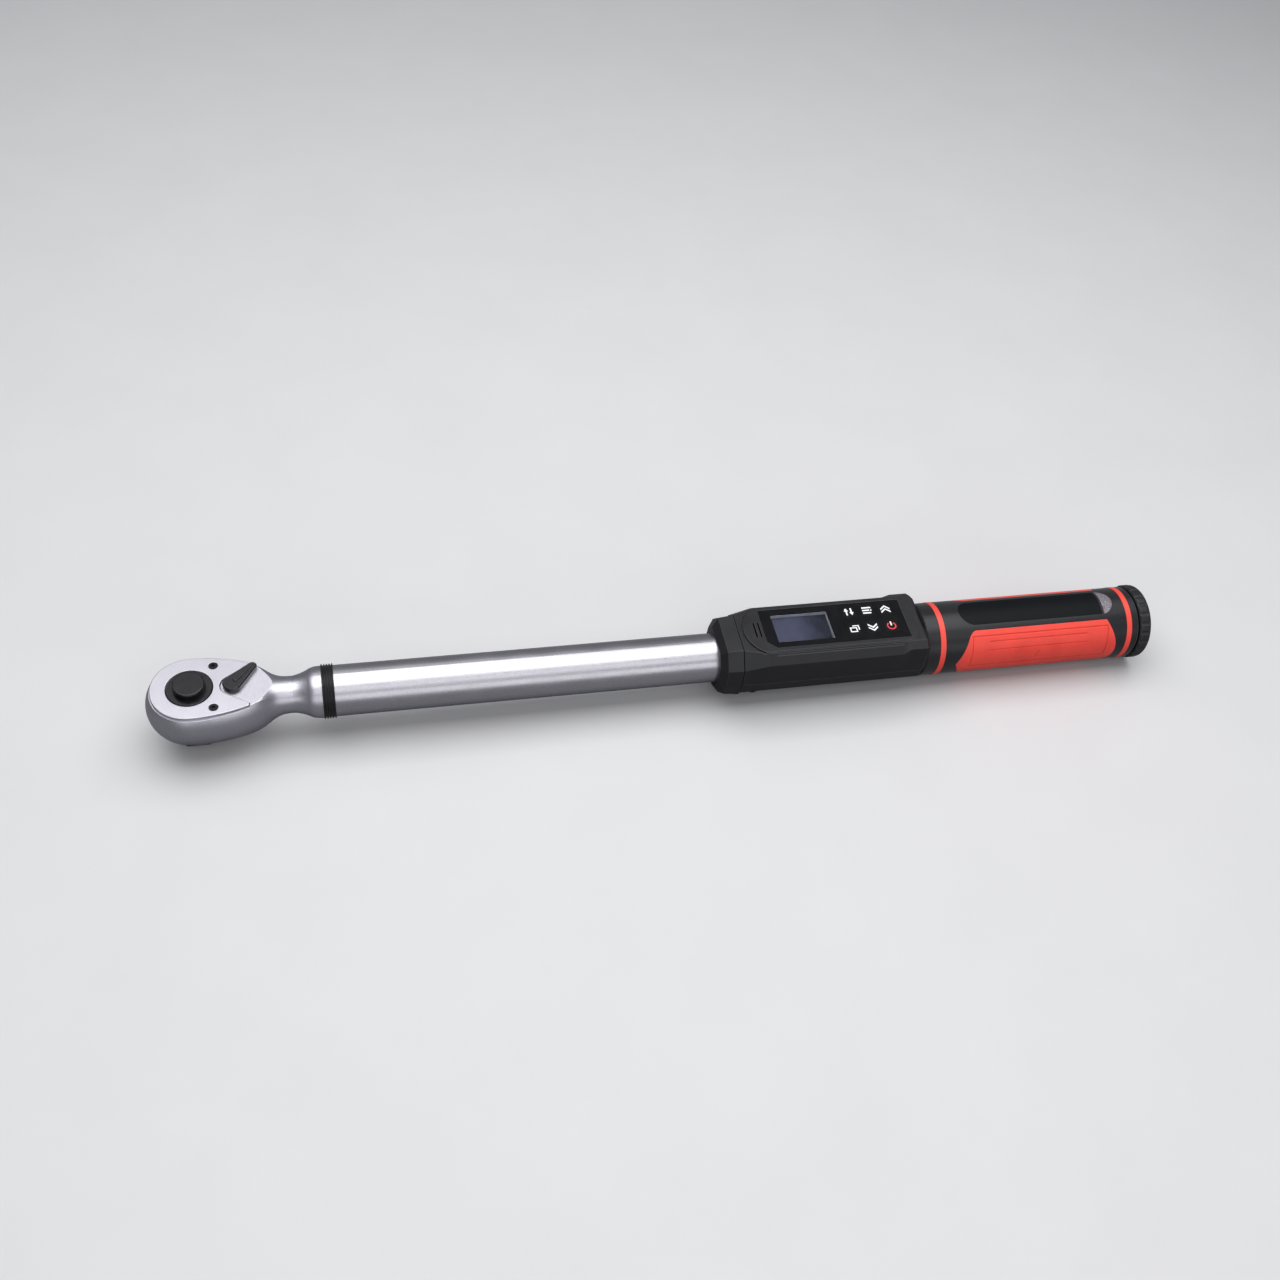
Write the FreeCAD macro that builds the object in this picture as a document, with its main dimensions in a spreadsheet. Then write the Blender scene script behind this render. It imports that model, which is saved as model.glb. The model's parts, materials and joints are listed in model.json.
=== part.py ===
import FreeCAD, Part
import os
import re
import Sketcher
from FreeCAD import Placement, Rotation, Vector

# An electronic torque wrench with a 1/2 inch square drive, in millimetres.
# The origin is the point where the drive axis crosses the tool's long axis.
# +X runs from the head to the end cap, +Z points out of the face that carries
# the reversing lever and the display, +Y is to the left seen from the end cap.

SIZES = {
    # ratchet head
    "face_z": 11.6,            # outer face of the cover plate
    "cover_thick": 1.8,
    "rim_z": 9.8,              # flat that the cover plate lies on
    "deck_z": 10.8,            # flat under the lever, behind the plate's notch
    "seat_gap": 0.2,           # gap between the notch and that flat
    "rim_front": 18.8,         # radius of that flat at the front
    "rim_rear": 12.8,          # its half width at head_rear
    "head_rear": 30.0,
    "head_low": 13.4,          # depth of the head below the long axis
    "cover_inset": 0.2,
    "cover_hole": 11.1,
    "cover_screw_x": 11.3,
    "cover_screw_y": 12.95,
    "horn_x": 28.0,            # tips of the cover plate beside the lever
    # neck
    "waist_r": 9.2,
    "bell_x": 60.0,
    "bell_r": 12.9,
    "neck_end": 62.5,
    "neck_end_r": 13.1,
    "spigot_end": 80.0,
    "spigot_r": 10.9,
    # drive
    "square_width": 12.7,
    "square_tip": 27.0,        # depth of the square's end below the axis
    "square_top": 13.7,
    "disc_r": 10.9,
    "disc_top": 11.8,
    "gear_r": 12.4,
    "gear_top": 9.6,
    "gear_low": 7.0,
    "tooth_depth": 0.9,
    "tooth_pitch": 10.0,       # degrees between two teeth
    "gear_bore": 12.95,
    "hub_r": 9.5,
    "play": 0.05,              # radial play of a running fit
    # quick release
    "button_r": 7.7,
    "button_top": 15.3,
    "button_low": 8.6,
    "button_travel": 3.0,
    "counterbore_floor": 5.2,
    "spring_seat": 3.0,        # depth of the spring's seat below the axis
    "spring_bore": 4.2,
    "pin_r": 2.2,
    "pin_neck_r": 1.2,
    "pin_tip": 22.8,
    "ball_r": 2.5,
    "ball_y": 4.75,
    "ball_z": 20.2,
    # reversing lever and pawl
    "pivot_x": 20.3,
    "lever_angle": 46.0,
    "lever_notch_r": 5.9,
    "lever_notch_angle": 32.0,
    "lever_boss_r": 4.7,
    "lever_tip_r": 2.2,
    "lever_reach": 13.8,
    "lever_low": 10.95,
    "lever_top": 13.5,
    "ridge_top": 14.4,
    "shaft_r": 3.0,
    "tenon_r": 2.0,
    "pocket_half": 6.0,        # half height of the pawl pocket
    "pocket_r": 16.85,
    "pocket_angle": 37.5,
    "pivot_pocket_r": 5.2,
    "pawl_half": 5.5,
    "pawl_in": 12.6,
    "pawl_out": 16.1,
    "pawl_angle": 30.0,
    "pawl_swing": 6.0,
    "plunger_r": 1.2,
    "plunger_reach": 3.9,
    # load path inside the tube
    "beam_start": 50.0,
    "beam_end": 194.0,
    "beam_width": 12.0,
    "beam_depth": 10.0,
    "waist_start": 95.0,
    "waist_end": 127.0,
    "waist_width": 8.0,
    "head_pin_x": 73.0,
    "beam_pin_x": 188.0,
    "cross_pin_r": 2.0,
    # collar and tube
    "collar_r": 13.7,
    "collar_groove": 0.75,
    "tube_start": 68.3,
    "tube_end": 499.0,
    "tube_r": 12.84,
    "tube_bore": 11.0,
    "wire_slot_x": 300.0,
    "power_slot_x": 352.0,
    "wire_r": 0.9,
    "elbow_r": 1.4,
    # housing
    "nose_start": 263.4,
    "nose_mid": 266.6,
    "nose_end": 274.6,         # a shadow gap is left in front of the case
    "case_start": 275.0,
    "case_rise": 287.0,        # where the case reaches its full section
    "case_fall": 361.0,        # where the shoulder in front of the grip begins
    "shoulder_start": 364.5,
    "shoulder_end": 374.0,
    "case_end": 376.0,
    "case_top": 18.8,
    "bezel_top": 19.4,
    "bezel_nose": 277.3,       # foremost point of the bezel's round front
    "bezel_front": 286.0,      # where that round front meets the straight sides
    "bezel_end": 370.5,
    "bezel_cut": 3.0,
    "bezel_line": 0.6,         # width and depth of the line round its front
    "step_start": 292.0,
    "step_end": 361.0,
    "step_drop": 0.69,
    "step_out": 0.6,
    "bezel_half": 15.4,
    "top_half": 15.7,          # half width of the flat top
    "slope_half": 20.2,
    "slope_z": 13.6,
    "side_half": 20.6,
    "chine_half": 19.4,
    "chine_z": 7.0,
    "belly_half": 9.0,
    "belly_z": 19.2,
    "wall": 2.2,
    "split_gap": 0.25,
    "seal_half": 19.6,
    "case_screw_y": 16.3,
    "case_screw_front": 282.0,
    "case_screw_rear": 369.0,
    # display and keys
    "panel_start": 288.0,
    "panel_end": 366.0,
    "panel_half": 12.9,
    "panel_cut": 4.5,
    "panel_low": 18.2,
    "panel_top": 19.2,
    "screen_start": 294.0,
    "screen_end": 325.0,
    "screen_half": 9.5,
    "screen_low": 15.3,        # underside of the display, down in its well
    "window_thick": 0.8,
    "key_first": 337.0,
    "key_pitch": 10.25,
    "key_far": 7.3,
    "key_near": 4.6,
    "key_long": 8.2,
    "key_wide": 7.2,
    "key_low": 16.9,
    "key_rim": 0.7,
    "key_gap": 0.15,
    "board_low": 13.3,
    "board_top": 14.3,
    "board_start": 280.4,
    "board_end": 362.6,
    "board_half": 14.0,
    "buzzer_tall": 2.0,
    # grip
    "grip_start": 376.4,
    "grip_end": 500.0,
    "grip_r": 19.5,
    "inlay_in": 18.3,
    "band_width": 3.0,
    "band_front": 383.8,
    "band_rear": 492.6,
    "band_r": 19.65,
    "side_start": 394.0,
    "side_end": 487.5,
    "side_top_start": 403.0,
    "side_top_end": 481.0,
    "side_top_z": 16.35,
    "side_low_z": 16.9,
    "field_start": 402.0,      # sunk frame and lines on the side panels
    "field_end": 481.5,
    "field_top": 14.4,
    "field_low": -2.6,
    "line_start": 412.0,
    "line_end": 469.0,
    "line_high": 11.5,
    "line_low": 7.4,
    "tick_x": 439.0,
    "tick_low": 0.6,
    "groove": 0.55,
    "groove_deep": 0.35,
    "strip_start": 397.0,
    "strip_end": 479.0,
    "strip_half": 7.9,
    "badge_start": 480.2,
    "badge_end": 486.6,
    # batteries and end cap
    "cell_r": 7.25,
    "cell_long": 49.3,
    "cell_stud": 1.2,
    "cell_start": 382.0,
    "carrier_r": 10.9,
    "carrier_start": 378.5,
    "carrier_end": 487.5,
    "insert_start": 489.0,
    "insert_bore": 9.2,
    "stem_r": 8.7,
    "thread_r": 0.45,
    "thread_pitch": 3.0,
    "cap_start": 500.8,
    "cap_end": 507.6,
    "cap_r": 20.2,
}

# Cross sections of the head: place along X, then the half width and height of
# the shoulder, of the side and of the foot, and the heights of crown and keel.
SECTION_PARTS = ("x", "top_y", "top_z", "side_y", "side_z", "foot_y", "foot_z", "crown", "keel")
HEAD_SECTIONS = {
    "heart": (0.0, 18.6, 10.6, 21.6, -1.0, 14.7, -13.6, 11.2, -14.2),
    "fore": (14.0, 17.2, 10.6, 20.6, -1.0, 14.0, -13.5, 11.6, -14.1),
    "rear": (26.0, 14.0, 10.6, 17.6, -1.0, 12.2, -12.8, 12.4, -13.6),
    "throat": (34.0, 10.2, 10.2, 13.9, -0.5, 9.6, -11.0, 12.6, -12.6),
    "nape": (41.0, 7.05, 7.15, 10.1, 0.0, 7.1, -7.3, 10.1, -10.4),
    "waist": (46.0, 6.54, 6.54, 9.25, 0.0, 6.54, -6.54, 9.25, -9.25),
    "tail": (49.0, 6.505, 6.505, 9.2, 0.0, 6.505, -6.505, 9.2, -9.2),
}

doc = FreeCAD.newDocument("TorqueWrench")
sheet = doc.addObject("Spreadsheet::Sheet", "Sizes")
parts = {}


def fill_sheet():
    """Writes every driving size into the sheet, each with its own alias."""
    rows = list(SIZES.items())
    for name, numbers in HEAD_SECTIONS.items():
        rows += [(f"{name}_{part}", number) for part, number in zip(SECTION_PARTS, numbers)]
    for row, (alias, number) in enumerate(rows, 1):
        sheet.set(f"A{row}", alias)
        sheet.set(f"B{row}", str(number))
        sheet.setAlias(f"B{row}", alias)
    doc.recompute()
    return {alias for alias, _ in rows}


ALIASES = fill_sheet()


# ---------------------------------------------------------------- helpers

def bound(text):
    """The expression that reads the named sizes in text from the sheet."""
    return re.sub(r"[a-z][a-z_]*", lambda m: "Sizes." + m[0] if m[0] in ALIASES else m[0], text)


def value(text):
    """The number that a size expression gives now."""
    found = sheet.evalExpression(bound(text))
    return float(getattr(found, "Value", found))


def bind(thing, prop, text):
    """Sets a property from a size expression."""
    thing.setExpression(prop, bound(text))


def body(label, x="0", y="0", z="0", turn=None):
    """A new body; turn is a rotation about Z in degrees, as an expression."""
    made = doc.addObject("PartDesign::Body", label)
    made.Label = label
    if hasattr(made, "AllowCompound"):
        made.AllowCompound = True
    for axis, text in (("x", x), ("y", y), ("z", z)):
        if text != "0":
            bind(made, f"Placement.Base.{axis}", text)
    if turn:
        bind(made, "Placement.Rotation.Angle", turn)
    return made


def sketch(owner, plane, off="0", shift_x="0", shift_y="0"):
    """A sketch on one of the body's origin planes, moved along its normal."""
    made = owner.newObject("Sketcher::SketchObject", owner.Name + "_sketch")
    support = next(item for item in owner.Origin.OriginFeatures if item.Role == plane + "_Plane")
    made.AttachmentSupport = [(support, "")]
    made.MapMode = "FlatFace"
    for axis, text in (("x", shift_x), ("y", shift_y), ("z", off)):
        if text != "0":
            bind(made, f"AttachmentOffset.Base.{axis}", text)
    return made


def pin(wanted, geo, point, x, y):
    """Ties a sketch point to the place that two expressions give."""
    for kind, axis, text in (("DistanceX", -2, x), ("DistanceY", -1, y)):
        if abs(value(text)) < 1e-9:
            wanted.append((Sketcher.Constraint("PointOnObject", geo, point, axis), None))
        else:
            wanted.append((Sketcher.Constraint(kind, -1, 1, geo, point, value(text)), text))


def constrain(made, wanted):
    """Adds constraints, then binds those that carry an expression."""
    first = made.ConstraintCount
    made.addConstraint([item for item, _ in wanted])
    for number, (_, text) in enumerate(wanted):
        if text and re.search("[a-z]", text):
            made.setExpression(f"Constraints[{first + number}]", bound(text))


def outline(made, path):
    """Draws a closed outline. A step (x, y) is a line to that point, and a
    step (mx, my, x, y) is an arc through (mx, my) to (x, y)."""
    steps = list(path[1:])
    if len(steps[-1]) == 2 or steps[-1][2:] != path[0]:
        steps.append(path[0])
    wanted = []
    joints = []
    here = path[0]
    for step in steps:
        start = Vector(value(here[0]), value(here[1]))
        end = Vector(value(step[-2]), value(step[-1]))
        if len(step) == 4:
            middle = Vector(value(step[0]), value(step[1]))
            bend = (middle - start).cross(end - middle).z
            arc = Part.Arc(start, middle, end) if bend > 0 else Part.Arc(end, middle, start)
            geo = made.addGeometry(arc, False)
            mark = made.addGeometry(Part.Point(middle), True)
            pin(wanted, mark, 1, step[0], step[1])
            wanted.append((Sketcher.Constraint("PointOnObject", mark, 1, geo), None))
        else:
            geo = made.addGeometry(Part.LineSegment(start, end), False)
        tail = 1 if (made.Geometry[geo].StartPoint - start).Length < 1e-6 else 2
        pin(wanted, geo, tail, here[0], here[1])
        joints.append((geo, tail))
        here = (step[-2], step[-1])
    for (geo, tail), (after, after_tail) in zip(joints, joints[1:] + joints[:1]):
        wanted.append((Sketcher.Constraint("Coincident", geo, 3 - tail, after, after_tail), None))
    constrain(made, wanted)
    return made


def circle(made, x, y, radius):
    """Draws a circle."""
    geo = made.addGeometry(Part.Circle(Vector(value(x), value(y)), Vector(0, 0, 1), value(radius)), False)
    wanted = []
    pin(wanted, geo, 3, x, y)
    wanted.append((Sketcher.Constraint("Radius", geo, value(radius)), radius))
    constrain(made, wanted)
    return made


def box_path(x_low, x_high, y_low, y_high):
    """A rectangle as an outline."""
    return [(x_low, y_low), (x_high, y_low), (x_high, y_high), (x_low, y_high)]


def both_sides(path):
    """Closes a path on the far side of the horizontal axis."""
    return path + [(x, f"-({y})") for x, y in reversed(path)]


def volume_of(owner):
    """The volume of the body as it stands."""
    doc.recompute()
    return owner.Shape.Volume if owner.Tip and not owner.Shape.isNull() else 0.0


def grown(owner, feature, before):
    """Recomputes and stops the build if a feature changed nothing."""
    doc.recompute()
    if "Invalid" in feature.State or abs(owner.Shape.Volume - before) < 1e-6:
        raise RuntimeError(f"{feature.Name} in {owner.Label} changes nothing: {feature.State}")
    return feature


def pad(owner, profile, length, back=False, middle=False):
    """Adds material along the sketch's normal, or against it."""
    before = volume_of(owner)
    made = owner.newObject("PartDesign::Pad", owner.Name + "_pad")
    made.Profile = profile
    made.Reversed = back
    made.Midplane = middle
    bind(made, "Length", length)
    return grown(owner, made, before)


def pocket(owner, profile, length, along=False, middle=False):
    """Cuts against the sketch's normal, or along it."""
    before = volume_of(owner)
    made = owner.newObject("PartDesign::Pocket", owner.Name + "_pocket")
    made.Profile = profile
    made.Reversed = along
    made.Midplane = middle
    bind(made, "Length", length)
    return grown(owner, made, before)


def turned(owner, profile, axis, cut=False):
    """Turns a sketch all round one of its own axes."""
    before = volume_of(owner)
    kind = "Groove" if cut else "Revolution"
    made = owner.newObject("PartDesign::" + kind, owner.Name + "_turned")
    made.Profile = profile
    made.ReferenceAxis = (profile, [axis])
    made.Angle = 360
    return grown(owner, made, before)


def loft(owner, profiles, ruled=False, cut=False):
    """Blends a row of sketches."""
    before = volume_of(owner)
    kind = "SubtractiveLoft" if cut else "AdditiveLoft"
    made = owner.newObject("PartDesign::" + kind, owner.Name + "_loft")
    made.Profile = profiles[0]
    made.Sections = profiles[1:]
    made.Ruled = ruled
    return grown(owner, made, before)


def coil(owner, profile, axis, pitch, height):
    """Winds a sketch round one of its own axes."""
    made = owner.newObject("PartDesign::AdditiveHelix", owner.Name + "_coil")
    made.Profile = profile
    made.ReferenceAxis = (profile, [axis])
    made.Mode = 0
    made.Angle = 0
    bind(made, "Pitch", pitch)
    bind(made, "Height", height)
    doc.recompute()
    return made


def around(owner, feature, profile, count, angle):
    """Repeats a feature round the normal of its sketch."""
    made = owner.newObject("PartDesign::PolarPattern", owner.Name + "_round")
    made.Originals = [feature]
    made.Axis = (profile, ["N_Axis"])
    made.Angle = angle
    made.Occurrences = count
    owner.Tip = made
    doc.recompute()
    return made


def in_row(owner, feature, plane_axis, count, length):
    """Repeats a feature in a straight row along an origin axis."""
    made = owner.newObject("PartDesign::LinearPattern", owner.Name + "_row")
    made.Originals = [feature]
    made.Direction = (next(i for i in owner.Origin.OriginFeatures if i.Role == plane_axis + "_Axis"), [""])
    made.Occurrences = count
    bind(made, "Length", length)
    owner.Tip = made
    doc.recompute()
    return made


def bevel(owner, picked, size, kind="Chamfer"):
    """Chamfers or fillets the edges that picked accepts."""
    doc.recompute()
    base = owner.Tip
    names = [f"Edge{n}" for n, edge in enumerate(base.Shape.Edges, 1) if picked(edge)]
    if not names:
        raise RuntimeError(f"no edge to work on in {owner.Label}")
    made = owner.newObject("PartDesign::" + kind, owner.Name + "_edge")
    made.Base = (base, names)
    bind(made, "Radius" if kind == "Fillet" else "Size", size)
    doc.recompute()
    if "Invalid" in made.State:
        raise RuntimeError(f"{made.Name} in {owner.Label} failed")
    return made


def at_height(height, margin=0.01):
    """Accepts the edges that lie wholly at one height."""
    level = value(height)
    return lambda e: abs(e.BoundBox.ZMin - level) < margin and abs(e.BoundBox.ZMax - level) < margin


def keep(node, made):
    """Records the object that a node is written from."""
    made.Label = node
    parts[node] = made
    return made


def block(label, x_low, x_high, y_low, y_high, z_low, z_high):
    """A plain box between two corners."""
    made = doc.addObject("Part::Box", label)
    for prop, low, high, axis in (
        ("Length", x_low, x_high, "x"),
        ("Width", y_low, y_high, "y"),
        ("Height", z_low, z_high, "z"),
    ):
        bind(made, prop, f"({high}) - ({low})")
        bind(made, f"Placement.Base.{axis}", low)
    return made


def turned_piece(label, path, axis="H_Axis", plane="XZ", **place):
    """A body that is one turned profile."""
    made = body(label, **place)
    turned(made, outline(sketch(made, plane), path), axis)
    return made


def ring_path(x_low, x_high, r_low, r_high):
    """The half section of a ring round the long axis."""
    return box_path(x_low, x_high, r_low, r_high)


def group(node, members):
    """Several separate solids kept as one node."""
    made = doc.addObject("Part::Compound", node)
    made.Links = members
    return keep(node, made)


def boolean(kind, label, base, tool):
    """A boolean of two objects."""
    made = doc.addObject("Part::" + kind, label)
    made.Base = base
    made.Tool = tool
    doc.recompute()
    return made


# ---------------------------------------------------------------- ratchet head

def side_rise(front, rear):
    """How far the side arc's centre lies beyond the axis, so that it leaves
    the round front without a kink and passes the neck at the right width."""
    return f"((head_rear^2 + ({rear})^2 - ({front})^2) / (2 * (({front}) - ({rear}))))"


def side_y(front, rear, x):
    """Half width of the head at a place along X, on the side arc."""
    rise = side_rise(front, rear)
    return f"(sqrt((({front}) + {rise})^2 - ({x})^2) - {rise})"


def head_section(made, name):
    """A cross section of the head: crown, side, keel and other side."""
    top = (f"{name}_top_y", f"{name}_top_z")
    foot = (f"{name}_foot_y", f"{name}_foot_z")
    far_top = ("-" + top[0], top[1])
    far_foot = ("-" + foot[0], foot[1])
    path = [
        top,
        ("0", f"{name}_crown", *far_top),
        (f"-{name}_side_y", f"{name}_side_z", *far_foot),
        ("0", f"{name}_keel", *foot),
        (f"{name}_side_y", f"{name}_side_z", *top),
    ]
    return outline(sketch(made, "YZ", name + "_x"), path)


def notch(radius, far):
    """The V notch round the lever, from one end over its round foot to the
    other end."""
    touch_x = f"(pivot_x - ({radius}) * sin(lever_notch_angle))"
    touch_y = f"(({radius}) * cos(lever_notch_angle))"
    end_y = f"({touch_y} + (({far}) - {touch_x}) * tan(lever_notch_angle))"
    return [
        (far, f"-{end_y}"),
        (touch_x, f"-{touch_y}"),
        (f"pivot_x - ({radius})", "0", touch_x, touch_y),
        (far, end_y),
    ]


def make_head():
    """The forged head: bowl, neck, bell and spigot, with its machined bores."""
    made = body("ratchet_head")
    bowl = [
        ("0", "heart_foot_z"),
        ("heart_foot_y", "heart_foot_z"),
        ("heart_side_y", "heart_side_z", "heart_top_y", "heart_top_z"),
        ("0", "heart_top_z"),
    ]
    turned(made, outline(sketch(made, "XZ"), bowl), "V_Axis")
    loft(made, [head_section(made, name) for name in HEAD_SECTIONS])
    neck = [
        ("waist_x - 0.5", "0"),
        ("waist_x - 0.5", "waist_r - 0.25"),
        ("waist_x + 4.5", "waist_r + 0.45", "waist_x + 9.5", "waist_r + 2.3"),
        ("bell_x - 2.2", "bell_r - 0.35", "bell_x", "bell_r"),
        ("neck_end", "neck_end_r"),
        ("neck_end", "spigot_r"),
        ("spigot_end", "spigot_r"),
        ("spigot_end", "0"),
    ]
    turned(made, outline(sketch(made, "XZ"), neck), "H_Axis")
    above = box_path("-heart_side_y - 1", "waist_x - 1", "deck_z", "deck_z + 5")
    below = box_path("-heart_side_y - 1", "waist_x - 1", "-head_low - 3", "-head_low")
    for waste in (above, below):
        pocket(made, outline(sketch(made, "XZ"), waste), "2 * heart_side_y + 5", middle=True)
    outer = "heart_side_y + 4"
    seat = [(f"-({outer})", f"-({outer})"), ("horn_x + seat_gap", f"-({outer})")]
    seat += notch("lever_notch_r - seat_gap", "horn_x + seat_gap")
    seat += [("horn_x + seat_gap", outer), (f"-({outer})", outer)]
    pocket(made, outline(sketch(made, "XY", "deck_z + 1"), seat), "deck_z + 1 - rim_z")
    cut_head_bores(made)
    return keep("ratchet_head", made)


def cut_head_bores(made):
    """Bores for the gear, the pawl, the lever, the screws and the beam."""
    top = "rim_z"
    pocket(made, circle(sketch(made, "XY", top), "0", "0", "gear_bore"), "rim_z + gear_low + play")
    pocket(made, circle(sketch(made, "XY", top), "0", "0", "hub_r + play"), "2 * head_low")
    edge_x = "pocket_r * cos(pocket_angle)"
    edge_y = "pocket_r * sin(pocket_angle)"
    inner_x = "(gear_bore - 1) * cos(pocket_angle)"
    inner_y = "(gear_bore - 1) * sin(pocket_angle)"
    pawl_room = [
        (inner_x, f"-{inner_y}"),
        (edge_x, f"-{edge_y}"),
        ("pocket_r", "0", edge_x, edge_y),
        (inner_x, inner_y),
    ]
    pocket(made, outline(sketch(made, "XY", "pocket_half"), pawl_room), "2 * pocket_half")
    room = circle(sketch(made, "XY", "pocket_half"), "pivot_x", "0", "pivot_pocket_r")
    pocket(made, room, "2 * pocket_half")
    bore = circle(sketch(made, "XY", "deck_z"), "pivot_x", "0", "shaft_r + play")
    pocket(made, bore, "deck_z - pocket_half + 1")
    screws = sketch(made, "XY", top)
    for side in ("", "-"):
        circle(screws, "cover_screw_x", side + "cover_screw_y", "1.25")
    pocket(made, screws, "6")
    beam_end = box_path("-beam_width/2", "beam_width/2", "-beam_depth/2", "beam_depth/2")
    pocket(made, outline(sketch(made, "YZ", "spigot_end"), beam_end), "spigot_end - beam_start")
    pin_hole = circle(sketch(made, "XY", "head_low"), "head_pin_x", "0", "cross_pin_r")
    pocket(made, pin_hole, "2 * head_low")


def make_cover():
    """The cover plate over the gear, notched in a V for the lever."""
    made = body("head_cover")
    front = "rim_front - cover_inset"
    rear = "rim_rear - cover_inset"
    half_way = side_y(front, rear, "horn_x/2")
    horn_y = side_y(front, rear, "horn_x")
    path = [
        ("0", front),
        (f"-({front})", "0", "0", f"-({front})"),
        ("horn_x/2", f"-{half_way}", "horn_x", f"-{horn_y}"),
        *notch("lever_notch_r", "horn_x"),
        ("horn_x", horn_y),
        ("horn_x/2", half_way, "0", front),
    ]
    plan = outline(sketch(made, "XY", "rim_z"), path)
    circle(plan, "0", "0", "cover_hole")
    for side in ("", "-"):
        circle(plan, "cover_screw_x", side + "cover_screw_y", "1.3")
    pad(made, plan, "cover_thick")
    top = at_height("face_z")
    small = lambda e: hasattr(e.Curve, "Radius") and e.Curve.Radius < 1.5
    bevel(made, lambda e: top(e) and small(e), "1.05")
    top_again = at_height("face_z")
    wide = lambda e: not (hasattr(e.Curve, "Radius") and e.Curve.Radius < 3)
    bevel(made, lambda e: top_again(e) and wide(e), "0.25")
    return keep("head_cover", made)


def make_cover_screws():
    """Two countersunk socket screws that hold the cover plate."""
    made = body("cover_screws")
    head = [
        ("0", "face_z - 7"),
        ("1.2", "face_z - 7"),
        ("1.2", "face_z - 1.15"),
        ("2.2", "face_z - 0.15"),
        ("2.2", "face_z - 0.05"),
        ("0", "face_z - 0.05"),
    ]
    place = {"off": "-cover_screw_y", "shift_x": "cover_screw_x"}
    turned(made, outline(sketch(made, "XZ", **place), head), "V_Axis")
    socket = sketch(made, "XY", "face_z", shift_x="cover_screw_x", shift_y="cover_screw_y")
    corners = [(f"1.05 * cos({60 * n})", f"1.05 * sin({60 * n})") for n in range(6)]
    pocket(made, outline(socket, corners), "0.9")
    whole = doc.addObject("Part::Mirroring", "cover_screw_twin")
    whole.Source = made
    whole.Normal = Vector(0, 1, 0)
    return group("cover_screws", [made, whole])


# ---------------------------------------------------------------- drive

def make_drive_gear():
    """The ratchet gear, in one piece with its back disc and the square."""
    made = body("drive_gear")
    blank = [
        ("0", "-square_top"),
        ("hub_r", "-square_top"),
        ("hub_r", "-gear_low"),
        ("gear_r", "-gear_low"),
        ("gear_r", "gear_top"),
        ("disc_r", "gear_top"),
        ("disc_r", "disc_top - 0.3"),
        ("disc_r - 0.3", "disc_top"),
        ("0", "disc_top"),
    ]
    turned(made, outline(sketch(made, "XZ"), blank), "V_Axis")
    space = sketch(made, "XY", "gear_top + 0.5")
    half = "gear_r * sin(tooth_pitch/2)"
    outline(space, [("gear_r - tooth_depth", "0"), ("gear_r + 0.2", f"-{half}"), ("gear_r + 0.2", half)])
    notch = pocket(made, space, "gear_top + gear_low + 1")
    around(made, notch, space, int(360 / SIZES["tooth_pitch"]), 360)
    square = box_path("-square_width/2", "square_width/2", "-square_width/2", "square_width/2")
    pad(made, outline(sketch(made, "XY", "-square_tip"), square), "square_tip - square_top + 1")
    corner = lambda e: abs(e.Length - value("square_tip - square_top")) < 0.1 and e.BoundBox.ZMax < -12
    bevel(made, corner, "1.1", "Fillet")
    bevel(made, at_height("-square_tip"), "0.9")
    cut_drive_bores(made)
    return keep("drive_gear", made)


def cut_drive_bores(made):
    """Bores for the button, its spring, its pin and the detent ball."""
    bores = [
        ("0", "disc_top + 1"),
        ("button_r + play", "disc_top + 1"),
        ("button_r + play", "counterbore_floor"),
        ("spring_bore", "counterbore_floor"),
        ("spring_bore", "-spring_seat"),
        ("pin_r + play", "-spring_seat"),
        ("pin_r + play", "-pin_tip - button_travel - 0.3"),
        ("0", "-pin_tip - button_travel - 0.3"),
    ]
    turned(made, outline(sketch(made, "XZ"), bores), "V_Axis", cut=True)
    hole = circle(sketch(made, "XZ"), "0", "-ball_z", "ball_r + play")
    pocket(made, hole, "square_width/2 - 0.5", along=True)
    lip = circle(sketch(made, "XZ"), "0", "-ball_z", "ball_r - 0.1")
    pocket(made, lip, "square_width", along=True)
    seal_groove = box_path("hub_r - 1.05", "hub_r + 1", "-10.6", "-9.4")
    turned(made, outline(sketch(made, "XZ"), seal_groove), "V_Axis", cut=True)


def make_gear_seal():
    """The ring that keeps dirt out of the head round the square."""
    made = body("gear_seal")
    section = circle(sketch(made, "XZ"), "hub_r - 0.5", "-10", "0.5")
    turned(made, section, "V_Axis")
    return keep("gear_seal", made)


def make_release_button():
    """The round button that frees a socket."""
    path = [
        ("1.8", "button_low"),
        ("button_r", "button_low"),
        ("button_r", "button_top - 0.8"),
        ("button_r - 0.23", "button_top - 0.23", "button_r - 0.8", "button_top"),
        ("0", "button_top"),
        ("0", "button_low + 4.4"),
        ("1.8", "button_low + 4.4"),
    ]
    return keep("release_button", turned_piece("release_button", path, "V_Axis"))


def make_release_pin():
    """The button's stem: its ramp lets the detent ball sink into the square."""
    ramp = "-ball_z - 0.35"
    path = [
        ("0", "-pin_tip"),
        ("pin_r - 0.4", "-pin_tip"),
        ("pin_r", "-pin_tip + 0.4"),
        ("pin_r", ramp),
        ("pin_neck_r", f"{ramp} + button_travel"),
        ("pin_neck_r", f"{ramp} + button_travel + 3.2"),
        ("pin_r", f"{ramp} + button_travel + 4.2"),
        ("pin_r", "button_low"),
        ("1.8", "button_low"),
        ("1.8", "button_low + 4.4"),
        ("0", "button_low + 4.4"),
    ]
    return keep("release_pin", turned_piece("release_pin", path, "V_Axis"))


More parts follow.
